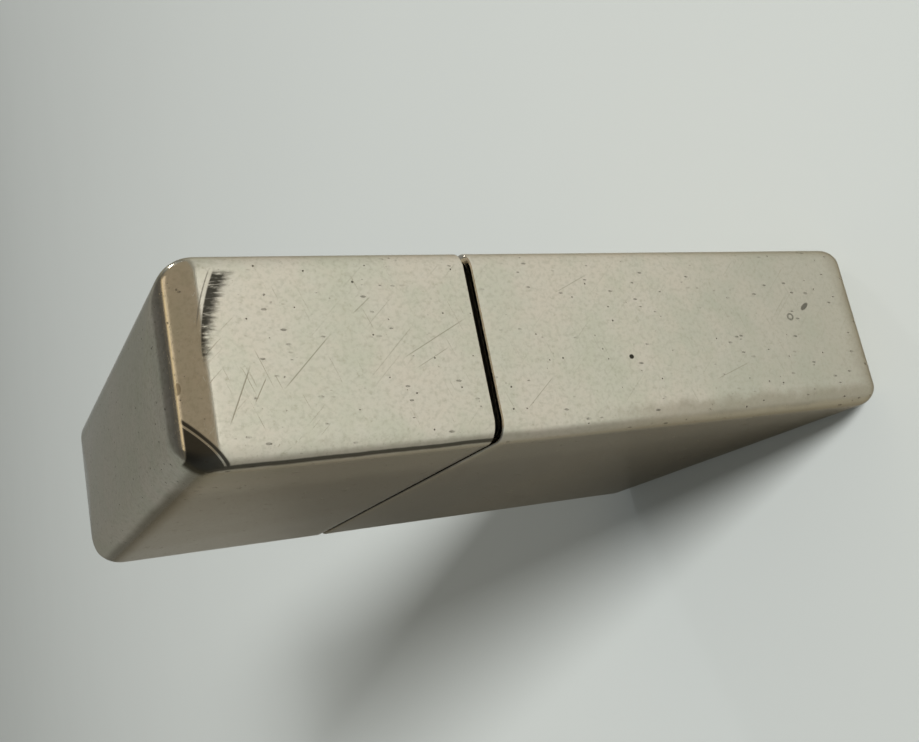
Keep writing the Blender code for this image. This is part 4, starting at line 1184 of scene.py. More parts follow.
def build_wick(material):
    """A core and two families of yarns wound opposite ways round the path.

    A yarn's centre circles the path once a pitch, and its distance from the path swells and
    shrinks with each yarn that it crosses, so that it goes over one and under the next.
    """
    path, travelled = wick_path()
    across = np.broadcast_to(np.array([0.0, 1.0, 0.0]), path.shape)
    tangent = np.gradient(path, axis=0)
    tangent /= np.linalg.norm(tangent, axis=1)[:, None]
    second = np.cross(tangent, across)
    yarns, yarn, pitch = inside().wick_yarns, YARN_RADIUS, 8.5 * MM
    swell = 0.09 * MM
    middle = WICK_RADIUS - yarn - swell
    inset = np.clip(travelled / (0.5 * MM), 0.35, 1.0)[:, None]
    circle = round_section(1.0, 20)[None, :, :]
    core = path[:, None, :] + (middle * 0.98) * inset[..., None] * (
        circle[..., 0:1] * across[:, None, :] + circle[..., 1:2] * second[:, None, :]
    )
    grids = [(core, False, True)]
    turn = 2 * math.pi * travelled / pitch
    for family in (1, -1):
        for index in range(yarns):
            angle = family * turn + 2 * math.pi * index / yarns
            radius = middle + family * swell * np.cos(yarns * turn)
            offset = np.cos(angle)[:, None] * across + np.sin(angle)[:, None] * second
            centre = path + radius[:, None] * offset
            grids.append((swept(centre, round_section(yarn, 6), offset), False, True))
    return make_piece("wick_braided", grids, material, sharp=60.0)


def build_fray(material):
    """Fine fibres that bend out of the wick's cut end."""
    draw = np.random.default_rng(21)
    grids = []
    fibres_drawn, fibre_radius = 70, 0.045 * MM
    top = WICK_HIGH.z - 0.75 * MM
    share = np.linspace(0.0, 1.0, 6)
    for _ in range(fibres_drawn):
        angle = draw.uniform(0.0, 2 * math.pi)
        start = WICK_RADIUS * math.sqrt(draw.uniform(0.02, 0.8))
        rise = draw.uniform(0.25, 0.75) * MM
        lean = draw.uniform(-0.2, 0.45) * MM
        radius = start + lean * share**2
        x = SHIELD_X + radius * math.cos(angle)
        y = radius * math.sin(angle)
        path = np.stack([x, y, top + rise * share], -1)
        across = np.broadcast_to(np.array([-math.sin(angle), math.cos(angle), 0.0]), path.shape)
        grids.append((swept(path, round_section(fibre_radius, 4), across), False, True))
    return make_piece("wick_fray", grids, material, sharp=60.0)


def build_wad(node, name, seed, material):
    """Wad of cotton: a ball whose sides are squared off by a power of the sine and cosine,
    pressed in by folds and small lumps, inside the box of its space."""
    low, high = (np.array(corner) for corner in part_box(node))
    centre, half = (low + high) / 2, (high - low) / 2
    up = np.radians(np.linspace(-90.0, 90.0, 90))[1:-1, None]
    round_angle = np.linspace(0.0, 2 * math.pi, 150, endpoint=False)[None, :]

    def squared(value):
        """A sine or cosine drawn towards 1 or -1 by a power below 1."""
        return np.sign(value) * np.abs(value) ** 0.42

    x = squared(np.cos(up)) * squared(np.cos(round_angle))
    y = squared(np.cos(up)) * squared(np.sin(round_angle))
    z = squared(np.sin(up)) * np.ones_like(round_angle)
    unit = np.stack([x, y, z], -1)
    points = centre + unit * half
    folds = 1.0 - np.abs(smooth_noise(points * (1.0, 0.7, 1.6), 5.0 * MM, seed))
    lumps = smooth_noise(points, 1.3 * MM, seed + 50)
    depth = (0.30 * np.clip(folds, 0.0, 1.0) ** 3 + 0.07 * (1.0 + np.clip(lumps, -1.0, 1.0))) * MM
    length_of = np.linalg.norm(unit, axis=-1, keepdims=True)
    points = points - unit / length_of * depth[..., None]
    return make_piece(name, [(points, False, True)], material, sharp=60.0)


def build_felt(material):
    """Felt slab with soft edges, its faces slightly uneven, and a hole for the screw."""
    low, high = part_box("felt_pad")
    centre = ((low.x + high.x) / 2, 0.0)
    edge = rounding(0.35 * MM, 5)
    middle = 0.93 * high.y
    face = line((middle, low.z), (edge[0, 0], low.z), 18)[:-1]
    foot = np.concatenate([face, np.stack([edge[:, 0], low.z + edge[:, 1]], -1)])
    head = np.stack([foot[::-1, 0], low.z + high.z - foot[::-1, 1]], -1)
    profile = with_least_radius([foot, line(foot[-1], head[0], 6)[1:-1], head], 0.35 * MM)
    columns = outline_columns(64, 20, 6)
    half_x = (high.x - low.x) / 2
    points = stacked_outline(columns, half_x, high.y, 0.9 * MM, profile, centre)
    unevenness = 0.05 * MM
    lift = unevenness * smooth_noise(points, 1.6 * MM, 3)
    points[..., 2] -= np.sign(points[..., 2] - (low.z + high.z) / 2) * (unevenness + lift)
    felt = make_piece("felt_cut", [(points, False, True)], material, sharp=60.0)
    hole = ((WHEEL.x, 0.0, 0.0), SCREW_HIGH.y + 0.25 * MM, low.z - MM, high.z + MM)
    carve(felt, [round_tool("hole", [hole], "Z", 56)], sharp=50.0)
    return felt


# Stage


DAYLIGHT_PLACE = (1.11, 0.22, 0.42)
DAYLIGHT_TINT = (1.0, 1.0, 0.965)
FLOOR_SIZE = 4.0


def build_floor(material, size):
    """A square floor through the frame's origin, twice as wide as the size."""
    mesh = bpy.data.meshes.new("floor")
    corners = [(-size, -size, 0.0), (size, -size, 0.0), (size, size, 0.0), (-size, size, 0.0)]
    mesh.from_pydata(corners, [], [(0, 1, 2, 3)])
    mesh.materials.append(material)
    floor = bpy.data.objects.new("floor", mesh)
    bpy.context.scene.collection.objects.link(floor)
    return floor


def hang_lamp(light, place, aim):
    """Put a light at a place and point it at another."""
    lamp = bpy.data.objects.new(light.name, light)
    lamp.location = place
    lamp.rotation_euler = (Vector(aim) - Vector(place)).to_track_quat("-Z", "Y").to_euler()
    bpy.context.scene.collection.objects.link(lamp)
    return lamp


def area_lamp(name, place, aim, size, power, tint):
    """A rectangular lamp of (width, height)."""
    light = bpy.data.lights.new(name, "AREA")
    light.shape = "RECTANGLE"
    light.size, light.size_y = size
    light.energy = power
    light.color = tint
    return hang_lamp(light, place, aim)


def distant_lamp(name, place, strength, tint):
    """Even, slightly soft light from one direction, the same over the whole floor."""
    light = bpy.data.lights.new(name, "SUN")
    light.angle = math.radians(14.0)
    light.energy = strength
    light.color = tint
    return hang_lamp(light, place, (0.0, 0.0, 0.0))


def build_camera():
    """Close camera above the thumb side, rolled so that the lighter lies across the picture."""
    data = bpy.data.cameras.new("camera")
    data.sensor_width = 36.0
    data.lens = 41.2
    data.clip_start = 0.001
    data.clip_end = 50.0
    camera = bpy.data.objects.new("camera", data)
    place = Vector((76.5, -18.0, 69.3)) * MM
    look = Vector((-0.8526, 0.2384, -0.4650)).normalized()
    right = Vector((0.4285, -0.1905, -0.8832))
    right = (right - look * right.dot(look)).normalized()
    up = right.cross(look)
    turn = Matrix((right, up, -look)).transposed()
    camera.matrix_world = Matrix.Translation(place) @ turn.to_4x4()
    bpy.context.scene.collection.objects.link(camera)
    bpy.context.scene.camera = camera


def build_room():
    """A plain room: pale grey below and at the sides, darker above, with one brownish side."""
    world = bpy.data.worlds.new("room")
    bpy.context.scene.world = world
    world.use_nodes = True
    finish = Finish("room", world.node_tree)
    pale, dim, ceiling = (0.34, 0.38, 0.395), (0.14, 0.145, 0.14), (0.10, 0.102, 0.10)
    x, y, z = finish.axes(finish.node("ShaderNodeTexCoord", out="Generated"))
    level = finish.ramp(z, [(0.0, pale), (0.30, pale), (0.62, dim), (0.90, ceiling)])
    brown_side = finish.step(x * 0.75 + y * 0.45 + z * 0.10, 0.12, 0.40)
    shade = finish.mix(brown_side, level, (0.36, 0.325, 0.255))
    inputs = {"Color": shade, "Strength": bpy.context.scene.lighter_stage.room_power}
    lit = finish.node("ShaderNodeBackground", inputs=inputs)
    finish.node("ShaderNodeOutputWorld", inputs={"Surface": lit})


# Finishes


# Near black of pits, specks and the rim ring, and of the painted dark reflections on the lid
NEAR_BLACK = (0.055, 0.05, 0.04)
# Brown of wear, and of painted reflections along the shells' edges
WEAR_AND_REFLECTION_BROWN = (0.36, 0.305, 0.225)
GRIME_BROWN = (0.44, 0.40, 0.28)
GRAIN_BROWN = (0.47, 0.435, 0.34)
# Grey of the painted shade towards the foot
LOWER_SHADE_GREY = (0.50, 0.485, 0.41)
# Brown of the painted shade on the front face, with some tarnish
SHADE_AND_TARNISH_BROWN = (0.245, 0.21, 0.165)
HAIR_BROWN = (0.36, 0.33, 0.25)
GLANCING_TINT = (0.56, 0.51, 0.44, 1.0)
SOOT_BLACK = (0.05, 0.045, 0.04)
BURNT_BLACK = (0.035, 0.028, 0.022)
RUBBED_GREY = (0.42, 0.40, 0.38)

# Scratches on the thumb side: start (y, z), end (y, z) and half width, in mm
LID_SCRATCHES = (
    ((-2.43, 49.8), (1.1, 46.1), 0.055),
    ((-0.95, 41.9), (1.75, 36.5), 0.045),
    ((-4.43, 53.3), (-0.5, 51.4), 0.05),
    ((-3.1, 51.6), (-1.4, 50.6), 0.035),
    ((2.2, 44.6), (3.4, 43.1), 0.035),
    ((-1.6, 41.0), (-0.2, 38.2), 0.03),
)
CASE_SCRATCHES = (
    ((-4.9, 33.6), (-2.6, 30.8), 0.03),
    ((3.2, 29.4), (4.6, 26.2), 0.03),
    ((-3.9, 17.2), (-2.7, 13.4), 0.03),
)
# Single marks on the thumb side: places (y, z) in mm; below them the painted dark reflections on the
# lid
PIT_PLACE = (-1.72, 24.2)
RING_PLACE = (0.64, 8.24)
CHIP_PLACE = (1.41, 6.47)
# Painted dark reflections on the lid: top of the band, teardrop from and to, front edge line, in mm
REFLECTION_TOP = 54.25
TEARDROP_LOW, TEARDROP_HIGH = 53.1, 55.72
LID_EDGE_LINE = -6.47


def made_once(name, make):
    """The material of that name, made the first time that a piece asks for it."""
    return bpy.data.materials.get(name) or make(name)


def hair_scratches(finish, turn, along, across, low, high):
    """Thin parallel streaks: noise drawn out along one turned direction and cut off high."""
    streak = finish.noise(finish.place((1 / across, 1 / along, 1 / across), turn), 2.0, 0.6)
    return finish.step(streak, low, high)


def specks(finish, spacing, size, share, stretch=(1.0, 1.0, 1.0), turn=(0.0, 0.0, 0.0)):
    """Small dots, each its own size, in a random share of the cells of a scattered grid."""
    vector = finish.place(tuple(part / spacing for part in stretch), turn)
    distance = finish.cells(vector)
    lot = finish.node("ShaderNodeTexWhiteNoise", inputs={"Vector": finish.cells(vector, out="Color")})
    radius = (lot - (1.0 - share)) * (size / share)
    return finish.step(distance - radius, 0.02, -0.03)


def scratch(finish, across, along, start, end, half_width):
    """Mask of a straight scratch in a face's own plane: full near its line, tapered at its ends."""
    reach = (end[0] - start[0], end[1] - start[1])
    long = math.hypot(*reach)
    unit = (reach[0] / long, reach[1] / long)
    travel = (across - start[0]) * unit[0] + (along - start[1]) * unit[1]
    offset = ((along - start[1]) * unit[0] - (across - start[0]) * unit[1]).math("ABSOLUTE")
    ends = finish.step(travel, 0.0, 0.2 * long) * finish.step(travel, long, 0.8 * long)
    return finish.step(offset, half_width, 0.3 * half_width) * ends


def scratches(finish, across, along, rows):
    """Several scratches as one mask."""
    lines = scratch(finish, across, along, *rows[0])
    for row in rows[1:]:
        lines = finish.both(lines, scratch(finish, across, along, *row))
    return lines


def spot(finish, across, along, centre, half_across, half_along):
    """Mask of a soft-edged oval round a centre in a face's own plane."""
    u = (across - centre[0]) * (1 / half_across)
    v = (along - centre[1]) * (1 / half_along)
    return finish.step(u * u + v * v, 1.35, 0.65)


def top_edge_reflection(finish, y, z, waver):
    """Painted dark reflection under the lid's top edge, brushed black: sharp above, feathered along z
    below.

    Its upper border is a parabola in y and its width grows in proportion to y.
    """
    hairs = finish.noise(finish.place((1.0, 4.2, 0.7)), 4.0, 0.7)
    below = (y + 0.1) * (y + 0.1) * -0.045 - z + REFLECTION_TOP
    width = y * 0.15 + 0.30 + (hairs - 0.5) * 1.5
    ends = finish.step(y, -0.9, 0.3) * finish.step(y + waver * 0.4, 5.4, 5.0)
    smear = finish.step(below, -0.02, 0.10) * finish.step(below - width, 0.40, -0.45) * ends
    rim = finish.step((below + 0.22).math("ABSOLUTE"), 0.06, 0.02) * finish.step(y, 1.6, 2.6)
    return finish.both(smear * finish.step(hairs, 0.30, 0.50), rim * ends * 0.55)


def corner_reflection(finish, y, z):
    """Painted dark reflection at the lid's front top corner, a black teardrop with one unpainted line
    inside its border.

    Its upper border is a slanting line, and inside_by is the height above that line.
    """
    inside_by = (y + 3.2) * -0.8 + z - 55.75
    reach = finish.step(z, TEARDROP_LOW, TEARDROP_LOW + 0.35)
    reach = reach * finish.step(z, TEARDROP_HIGH, TEARDROP_HIGH - 0.10)
    reach = reach * finish.step(y, -6.6, -6.45)
    unpainted_line = finish.step((inside_by - 0.40).math("ABSOLUTE"), 0.10, 0.04) * 0.75
    return finish.step(inside_by, 0.02, 0.16) * reach * (1.0 - unpainted_line)


def lid_marks(finish, x, y, z):
    """Bright, brown, dark and scratched places of the lid: worn top edge, a painted brown reflection
    over the edge's rounding, painted dark reflections near the top and front edges, scratches.

    Around is the angle round the top edge's arc, from 0 at the thumb side to 1.57 at the top.
    """
    thumb = finish.step(x, 16.2, 17.2)
    waver = finish.noise(finish.place(0.35), 3.0, 0.6) - 0.5
    arc_x = (LID_HIGH.x - shells().top_radius) / MM
    arc_z = (LID_HIGH.z - shells().top_radius) / MM
    around = (z - arc_z).math("ARCTAN2", x - arc_x) - waver * 0.06
    worn = finish.step((around - 0.86).math("ABSOLUTE"), 0.055, 0.020) * thumb
    second = finish.step((around - 0.97).math("ABSOLUTE"), 0.030, 0.010) * thumb
    worn = finish.both(worn * 0.8, second * 0.4)
    # Painted brown reflection over the top edge's rounding; the bruise is wear
    band = finish.step(around + waver * 0.05, 0.02, 0.10) * finish.step(around, 1.2, 0.95)
    bruise = spot(finish, y + waver, around, (-1.5, 0.80), 0.35, 0.10)
    brown = finish.both(band * thumb * 0.35, bruise * thumb)
    # Painted dark reflections under the top edge and at the front corner
    dark = finish.both(top_edge_reflection(finish, y, z, waver), corner_reflection(finish, y, z)) * thumb * 0.96
    # Painted dark reflection: a thin black line along the lid's front edge
    near_edge = finish.step((y + waver * 0.10 - LID_EDGE_LINE).math("ABSOLUTE"), 0.13, 0.05)
    dark = finish.both(dark, near_edge * finish.step(x, 17.3, 17.6) * 0.9)
    return worn, brown, dark, scratches(finish, y, z, LID_SCRATCHES) * thumb


def case_marks(finish, x, y, z):
    """Bright, brown, dark and scratched places of the case: a painted brown reflection along the
    front edge, browner towards the base, a pit, a ring, a chip.
    """
    thumb = finish.step(x, 17.6, 18.6)
    waver = finish.noise(finish.place(0.45), 4.0, 0.6) - 0.5
    # Painted brown reflection along the front edge, below the middle
    edge = finish.step(y + waver * 1.8, -4.8, -5.8) * finish.step(z, 30.0, 20.0) * 0.55
    # Browner towards the base
    foot = finish.step(z + waver * 2.0, 3.2, 1.2) * 0.5
    pit = spot(finish, y, z, PIT_PLACE, 0.17, 0.20)
    ring = spot(finish, y, z, RING_PLACE, 0.30, 0.34) - spot(finish, y, z, RING_PLACE, 0.16, 0.18)
    chip = spot(finish, y + (z - 6.5) * 0.5, z, CHIP_PLACE, 0.22, 0.42)
    dark = finish.both(finish.both(pit, ring * 0.6), chip * 0.7) * thumb
    worn = finish.step(y + waver * 0.6, -6.1, -6.5) * finish.step(z, 33.0, 12.0) * thumb * 0.25
    lines = scratches(finish, y, z, CASE_SCRATCHES)
    return worn, finish.both(edge, foot), dark, lines * thumb


def worn_plate(name, marks):
    """Polished plate with cloudy tarnish, painted shade on the front with some brown tarnish, painted
    shade greying the lower part, grime in specks and dashes, hairs.

    Marks(finish, x, y, z) returns masks of bright, brown, dark and scratched places, in mm. Some
    brown and dark places are painted reflections.
    """
    finish = Finish(name)
    x, y, z = finish.axes(finish.place())
    plate = tone_of("plate")
    cloud = finish.noise(finish.place(0.17), 5.0, 0.62)
    mottle = finish.noise(finish.place(0.62, shift=(7.0, 3.0, 11.0)), 6.0, 0.68)
    greenish = tuple(part * tint for part, tint in zip(plate, (0.90, 0.93, 0.87)))
    pinkish = tuple(part * tint for part, tint in zip(plate, (1.02, 0.98, 0.955)))
    tint = finish.mix(finish.step(cloud, 0.36, 0.62), greenish, pinkish)
    tone = finish.mix(finish.step(mottle, 0.30, 0.72) * 0.5, tint, plate)
    grime = finish.step(finish.noise(finish.place(2.6), 5.0, 0.72), 0.54, 0.74)
    tone = finish.mix(grime * 0.42, tone, GRIME_BROWN)
    grain = finish.noise(finish.place(3.0, shift=(5.0, 1.0, 2.0)), 4.0, 0.65)
    tone = finish.mix(finish.step(grain, 0.45, 0.66) * 0.30, tone, GRAIN_BROWN)
    # Painted shade: greyer and darker towards the foot
    foot = finish.step(z + (cloud - 0.5) * 14.0, 27.0, 5.0) * 0.50
    tone = finish.mix(foot, tone, LOWER_SHADE_GREY)
    # Painted shade with some brown tarnish on the front face, stronger away from the thumb side
    shade_and_tarnish_front = finish.step(y + (cloud - 0.5) * 0.3, -5.95, -6.35)
    front_darkness = finish.step(x + (mottle - 0.5) * 5.0, 13.4, 9.2) * 0.24 + 0.68
    tone = finish.mix(shade_and_tarnish_front * front_darkness, tone, SHADE_AND_TARNISH_BROWN)
    dots = finish.both(specks(finish, 0.50, 0.17, 0.30), specks(finish, 1.7, 0.055, 0.40))
    dots = dots * finish.step(mottle, 0.36, 0.56)
    dashes = specks(finish, 0.36, 0.26, 0.40, (1.0, 1.0, 0.40), (6.0, 0.0, 0.0))
    dashes = dashes * finish.step(cloud + mottle, 0.86, 1.12)
    hairs = hair_scratches(finish, (47.0, 0.0, 0.0), 9.0, 0.10, 0.665, 0.73)
    crossed = hair_scratches(finish, (-20.0, 12.0, 0.0), 6.0, 0.09, 0.685, 0.75)
    bright, brown, dark, lines = marks(finish, x, y, z)
    hairs = finish.both(hairs, crossed) * 0.7
    pits = finish.both(dots, dashes * 0.7)
    # Brown wear, and painted brown reflections along the edges
    tone = finish.mix(brown, tone, WEAR_AND_REFLECTION_BROWN)
    tone = finish.mix(bright, tone, tone_of("showing"))
    tone = finish.mix(finish.both(hairs * 0.6, lines * 0.75), tone, HAIR_BROWN)
    # Pits and dark marks near black; on the lid the dark marks are painted reflections
    tone = finish.mix(finish.both(pits * 0.78, dark), tone, NEAR_BLACK)
    roughness = mottle * 0.06 + 0.10 + grime * 0.12 + brown * 0.10
    roughness = roughness + pits * 0.3 + hairs * 0.12 + dark * 0.25
    wave = finish.noise(finish.place(0.13), 1.0)
    normal = finish.bump(wave, 0.05 * MM, 0.6)
    normal = finish.bump(grain, 0.0022 * MM, 0.6, normal)
    relief = (finish.both(hairs, lines) * 0.6 + pits) * -1.0
    normal = finish.bump(relief, 0.012 * MM, 0.7, normal)
    varying = {"Base Color": tone, "Roughness": roughness, "Normal": normal}
    return finish.principled(varying, {"Metallic": 1.0, "Specular Tint": GLANCING_TINT})


def drawn_metal(name, tone, grain, roughness, rim_darkening=0.0, soot=0.0):
    """Metal with fine streaks along one axis, light stains and dots.

    Rim darkening is a dark ring at the height of the case's rim, and soot is near the flame.
    """
    finish = Finish(name)
    stretch = {"X": (0.10, 7.0, 7.0), "Y": (7.0, 0.10, 7.0), "Z": (7.0, 7.0, 0.10)}[grain]
    streak = finish.noise(finish.place(stretch), 3.0, 0.6)
    cloud = finish.noise(finish.place(0.40), 5.0, 0.6)
    surface = finish.mix(finish.step(streak, 0.32, 0.70) * 0.55, tone, shaded(tone, 0.66))
    stained = finish.step(cloud, 0.52, 0.78)
    surface = finish.mix(stained * 0.30, surface, shaded(tone, 0.6))
    dots = specks(finish, 0.8, 0.16, 0.20)
    surface = finish.mix(dots * 0.6, surface, NEAR_BLACK)
    rough = streak * 0.12 + roughness + stained * 0.12 + dots * 0.2
    if rim_darkening:
        # A ring darkened almost to black where the gap between case and lid lies
        level = finish.axes(finish.place())[2] + cloud * 0.6
        ring = finish.step(level, 34.6, 35.3) * finish.step(level, 36.5, 36.1)
        surface = finish.mix(ring * rim_darkening, surface, NEAR_BLACK)
        rough = rough + ring * 0.3
    if soot:
        x, _, z = finish.axes(finish.place())
        aside = ((x - SHIELD_X / MM) * 0.55).math("ABSOLUTE")
        near = finish.step(aside - (z - 48.0) * 0.35, 3.2, -1.0)
        black = near * finish.step(finish.noise(finish.place(0.7), 5.0, 0.65), 0.40, 0.62) * soot
        surface = finish.mix(black, surface, SOOT_BLACK)
        rough = rough + black * 0.4
    normal = finish.bump(streak, 0.005 * MM, 0.6)
    normal = finish.bump(dots * -1.0, 0.01 * MM, 0.6, normal)
    varying = {"Base Color": surface, "Roughness": rough, "Normal": normal}
    return finish.principled(varying, {"Metallic": 1.0})


def cast_flint(name):
    """Dull grey casting, grainy, with brighter rubbed spots."""
    finish = Finish(name)
    tone = tone_of("flint")
    grain = finish.noise(finish.place(5.0), 5.0, 0.7)
    rubbed = finish.step(finish.noise(finish.place(1.4), 4.0, 0.6), 0.52, 0.70)
    surface = finish.mix(grain, shaded(tone, 0.55), tone)
    surface = finish.mix(rubbed * 0.5, surface, RUBBED_GREY)
    normal = finish.bump(grain, 0.05 * MM, 0.7)
    varying = {"Base Color": surface, "Roughness": 0.72 - rubbed * 0.25, "Normal": normal}
    return finish.principled(varying, {"Metallic": 0.85})


def fibres(name, tone, shade, size, scorch=0.0):
    """Cotton or felt: crossed fine fibres over soft lumps, and a burnt end where it is asked."""
    finish = Finish(name)
    one_way = finish.place((size * 6, size * 0.7, size * 3), (20.0, 35.0, 0.0))
    first = finish.noise(one_way, 4.0, 0.65)
    other_way = finish.place((size * 0.7, size * 5, size * 4), (0.0, -30.0, 50.0))
    second = finish.noise(other_way, 4.0, 0.65)
    lumps = finish.noise(finish.place(size * 0.5), 3.0, 0.6)
    hair = finish.both(first, second)
    surface = finish.mix(finish.step(hair, 0.38, 0.68), shade, tone)
    surface = finish.mix(finish.step(lumps, 0.40, 0.75) * 0.35, surface, shade)
    if scorch:
        z = finish.axes(finish.place())[2]
        burnt = finish.step(z + lumps * 1.6, WICK_HIGH.z / MM - 1.6, WICK_HIGH.z / MM + 0.2)
        surface = finish.mix(burnt * scorch, surface, BURNT_BLACK)
    normal = finish.bump(hair, 0.06 * MM, 0.8)
    normal = finish.bump(lumps, 0.15 * MM, 0.5, normal)
    fixed = {"Roughness": 0.92, "Sheen Weight": 0.35, "Sheen Roughness": 0.5}
    return finish.principled({"Base Color": surface, "Normal": normal}, fixed)


def pale_floor(name):
    """Floor paint: one colour with a very slight cloudiness."""
    finish = Finish(name)
    tone = tuple(bpy.context.scene.lighter_stage.floor)
    cloud = finish.noise(finish.place(0.02), 3.0, 0.5)
    surface = finish.mix(cloud * 0.25, tone, shaded(tone, 0.90))
    return finish.principled({"Base Color": surface}, {"Roughness": 0.75, "Specular IOR Level": 0.2})


def rim_darkened_stainless(name):
    """The tank's sheet, darkened almost to black in the gap between the case and the lid."""
    return drawn_metal(name, tone_of("stainless"), "X", 0.24, rim_darkening=0.93)


def sooted_stainless(name):
    """The chimney's sheet, black near the flame."""
    return drawn_metal(name, tone_of("stainless"), "Z", 0.26, soot=0.8)


def bright_steel(name):
    """Leaves, pins, rivets, cam and springs."""
    return drawn_metal(name, tone_of("bright"), "Y", 0.20)


def dark_steel(name):
    """The spark wheel's hardened steel."""
    return drawn_metal(name, tone_of("wheel"), "Y", 0.34)


def turned_brass(name):
    """Tube, tip and screw of the flint feed."""
    return drawn_metal(name, tone_of("brass"), "Z", 0.24)


def cotton_like(name, colour_name, shade, size, scorch=0.0):
    """Fibres in one of the user's colours, shaded in their depths."""
    tone = tone_of(colour_name)
    return made_once(name, lambda new: fibres(new, tone, shaded(tone, shade), size, scorch))


# Operators


def settle(piece, body, node):
    """The piece rides on a body and stands for a node, which is hidden."""
    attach(piece, body)
    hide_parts(node)


class LIGHTER_OT_stage(bpy.types.Operator):
    """Set up the camera, the floor, the room and the lamps"""

    bl_idname = "lighter.stage"
    bl_label = "Stage"

    def execute(self, context):
        context.scene.view_settings.view_transform = "Standard"
        build_camera()
        build_room()
        build_floor(made_once("floor_paint", pale_floor), FLOOR_SIZE)
        key = context.scene.lighter_stage.key_power
        aim = (0.0, 0.0, 0.03)
        window = area_lamp("window", DAYLIGHT_PLACE, aim, (0.30, 0.30), 2.2 * key, DAYLIGHT_TINT)
        window.data.spread = math.radians(60.0)
        window.visible_glossy = False
        daylight = distant_lamp("daylight", DAYLIGHT_PLACE, 2.5 * key, DAYLIGHT_TINT)
        daylight.visible_glossy = False
        white, golden = (1.0, 1.0, 1.0), (1.0, 0.88, 0.68)
        area_lamp("corner_lamp", (-0.36, 0.88, 0.32), aim, (0.07, 0.07), 0.9 * key, white)
        area_lamp("edge_strip", (0.04, 0.15, 0.50), aim, (0.08, 0.26), 0.045 * key, golden)
        return {"FINISHED"}


class LIGHTER_OT_case(bpy.types.Operator):
    """Build the drawn case"""

    bl_idname = "lighter.case"
    bl_label = "Case"

    def execute(self, context):
        plate = made_once("plate_case", lambda name: worn_plate(name, case_marks))
        piece = build_shell("case_shell", case_profile(shells()), plate, 11)
        settle(piece, "case", "case_body")
        return {"FINISHED"}


class LIGHTER_OT_lid(bpy.types.Operator):
    """Build the drawn lid"""

    bl_idname = "lighter.lid"
    bl_label = "Lid"

    def execute(self, context):
        plate = made_once("plate_lid", lambda name: worn_plate(name, lid_marks))
        piece = build_shell("lid_cap", lid_profile(shells()), plate, 12)
        settle(piece, "lid", "lid_shell")
        return {"FINISHED"}


class LIGHTER_OT_hinge(bpy.types.Operator):
    """Build the two rolled leaves and the pin of the hinge"""

    bl_idname = "lighter.hinge"
    bl_label = "Hinge"

    def execute(self, context):
        steel = made_once("hinge_steel", bright_steel)
        leaf = build_leaf("hinge_leaf_case", "case_leaf_rolled", -1, (1, 3), steel)
        settle(leaf, "case", "hinge_leaf_case")
        leaf = build_leaf("hinge_leaf_lid", "lid_leaf_rolled", 1, (0, 2, 4), steel)
        settle(leaf, "lid", "hinge_leaf_lid")
        low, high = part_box("hinge_pin")
        profile = round_end_profile((high.x - low.x) / 2, low.y, high.y, 0.12 * MM)
        points = turned(profile, (HINGE.x, 0.0, HINGE.z), "Y", 40)
        pin = shaded_piece("pin_turned", [(points, False, True)], steel)
        settle(pin, "case", "hinge_pin")
        return {"FINISHED"}


class LIGHTER_OT_tank(bpy.types.Operator):
    """Build the fuel tank with its deck, and the chimney on it"""

    bl_idname = "lighter.tank"
    bl_label = "Tank and chimney"

    def execute(self, context):
        tank = build_tank(made_once("stainless_tank", rim_darkened_stainless))
        settle(tank, "case", "insert_tank")
        shield = build_shield(made_once("stainless_shield", sooted_stainless))
        settle(shield, "case", "chimney")
        return {"FINISHED"}


class LIGHTER_OT_wheel(bpy.types.Operator):
    """Build the spark wheel and its axle"""

    bl_idname = "lighter.wheel"
    bl_label = "Spark wheel"

    def execute(self, context):
        wheel = build_wheel(made_once("wheel_steel", dark_steel))
        settle(wheel, "wheel", "spark_wheel")
        steel = made_once("small_steel", bright_steel)
        axle = build_cross_rivet("wheel_axle", "axle_rivet", AXLE_RADIUS, steel)
        settle(axle, "case", "wheel_axle")
        return {"FINISHED"}


class LIGHTER_OT_cam(bpy.types.Operator):
    """Build the cam, its pin, its leaf spring and the spring's rivet"""

    bl_idname = "lighter.cam"
    bl_label = "Cam"

    def execute(self, context):
        steel = made_once("small_steel", bright_steel)
        settle(build_cam(steel), "cam", "cam_lever")
        pin = build_cross_rivet("cam_pin", "cam_rivet", CAM_PIN_RADIUS, steel)
        settle(pin, "case", "cam_pin")
        settle(build_cam_spring(steel), "case", "cam_spring")
        settle(build_deck_rivet("deck_rivet", steel), "case", "cam_spring_rivet")
        return {"FINISHED"}


class LIGHTER_OT_flint(bpy.types.Operator):
    """Build the flint, its tube, the spring with its tip, and the screw"""

    bl_idname = "lighter.flint"
    bl_label = "Flint feed"

    def execute(self, context):
        brass = made_once("turned_brass", turned_brass)
        steel = made_once("small_steel", bright_steel)
        settle(build_flint_tube(brass), "case", "flint_tube")
        settle(build_flint(made_once("cast_flint", cast_flint)), "flint_feed", "flint")
        settle(build_plunger(brass), "flint_feed", "flint_plunger")
        spring = build_flint_spring(steel)
        settle(spring, "case", "flint_spring")
        low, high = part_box("flint_spring")
        travel = -JOINTS["flint_feed"]["range_m"][0]
        1 - travel / (high.z - low.z)
        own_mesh(spring)
        settle(build_flint_screw(brass), "case", "flint_screw")
        return {"FINISHED"}


class LIGHTER_OT_wick(bpy.types.Operator):
    """Build the braided wick and its frayed end"""

    bl_idname = "lighter.wick"
    bl_label = "Wick"

    def execute(self, context):
        cotton = cotton_like("wick_cotton", "wick", 0.55, 1.6, 0.9)
        settle(build_wick(cotton), "case", "wick")
        fray = build_fray(cotton)
        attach(fray, "case")
        return {"FINISHED"}


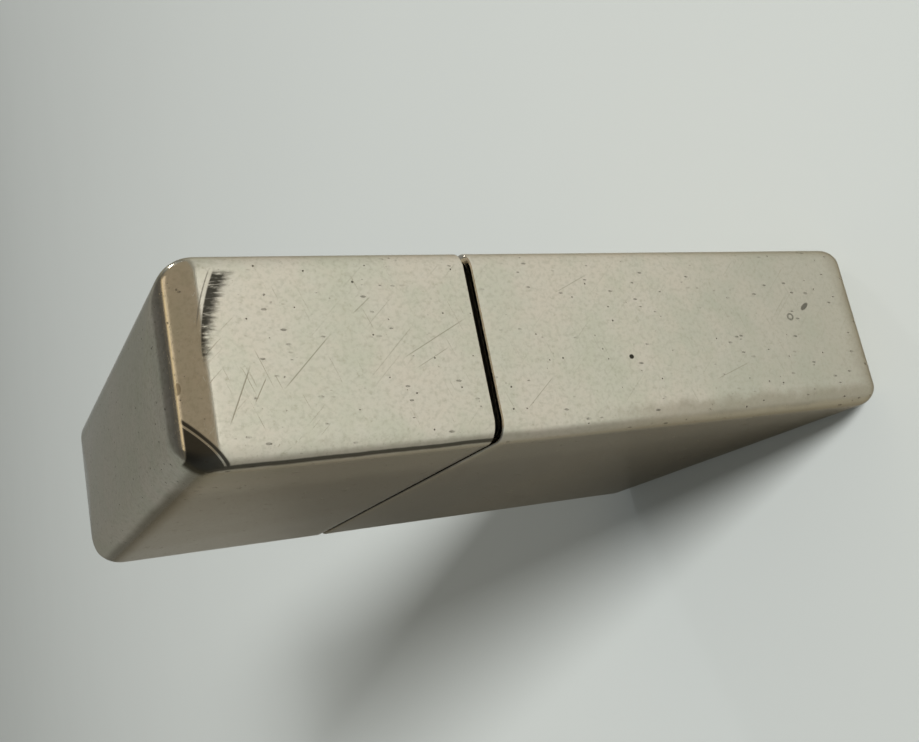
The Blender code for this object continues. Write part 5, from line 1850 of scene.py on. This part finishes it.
class LIGHTER_OT_packing(bpy.types.Operator):
    """Build the wads of packing and the felt"""

    bl_idname = "lighter.packing"
    bl_label = "Packing and felt"

    def execute(self, context):
        cotton = cotton_like("packing_cotton", "cotton", 0.72, 0.9)
        places = ("bottom", "lower", "middle", "upper_left", "upper_right", "side")
        for seed, place in enumerate(places):
            wad = build_wad("packing_" + place, "wad_" + place, 30 + seed, cotton)
            settle(wad, "case", "packing_" + place)
        felt = build_felt(cotton_like("felt", "felt", 0.6, 1.3))
        settle(felt, "case", "felt_pad")
        return {"FINISHED"}


class LIGHTER_PT_panel(bpy.types.Panel):
    """Buttons that build the lighter piece by piece"""

    bl_idname = "LIGHTER_PT_panel"
    bl_label = "Lighter"
    bl_space_type = "VIEW_3D"
    bl_region_type = "UI"
    bl_category = "Lighter"

    def draw(self, context):
        for operator in OPERATORS:
            self.layout.operator(operator.bl_idname)
        for group in (shells(), inside(), finishes(), context.scene.lighter_stage):
            box = self.layout.box()
            for name in group.__annotations__:
                box.prop(group, name)


OPERATORS = (
    LIGHTER_OT_stage,
    LIGHTER_OT_case,
    LIGHTER_OT_lid,
    LIGHTER_OT_hinge,
    LIGHTER_OT_tank,
    LIGHTER_OT_wheel,
    LIGHTER_OT_cam,
    LIGHTER_OT_flint,
    LIGHTER_OT_wick,
    LIGHTER_OT_packing,
)
GROUPS = {
    "lighter_shells": LighterShells,
    "lighter_inside": LighterInside,
    "lighter_finishes": LighterFinishes,
    "lighter_stage": LighterStage,
}


def register():
    """Add the classes and the scene's own settings."""
    for group in GROUPS.values():
        bpy.utils.register_class(group)
    for name, group in GROUPS.items():
        setattr(bpy.types.Scene, name, PointerProperty(type=group))
    for operator in OPERATORS:
        bpy.utils.register_class(operator)
    bpy.utils.register_class(LIGHTER_PT_panel)


def unregister():
    """Take the classes and the settings away again."""
    bpy.utils.unregister_class(LIGHTER_PT_panel)
    for operator in reversed(OPERATORS):
        bpy.utils.unregister_class(operator)
    for name in GROUPS:
        delattr(bpy.types.Scene, name)
    for group in reversed(GROUPS.values()):
        bpy.utils.unregister_class(group)


def main():
    """Run every operator in order."""
    register()
    for operator in OPERATORS:
        group, name = operator.bl_idname.split(".")
        getattr(getattr(bpy.ops, group), name)()


if __name__ == "__main__":
    main()
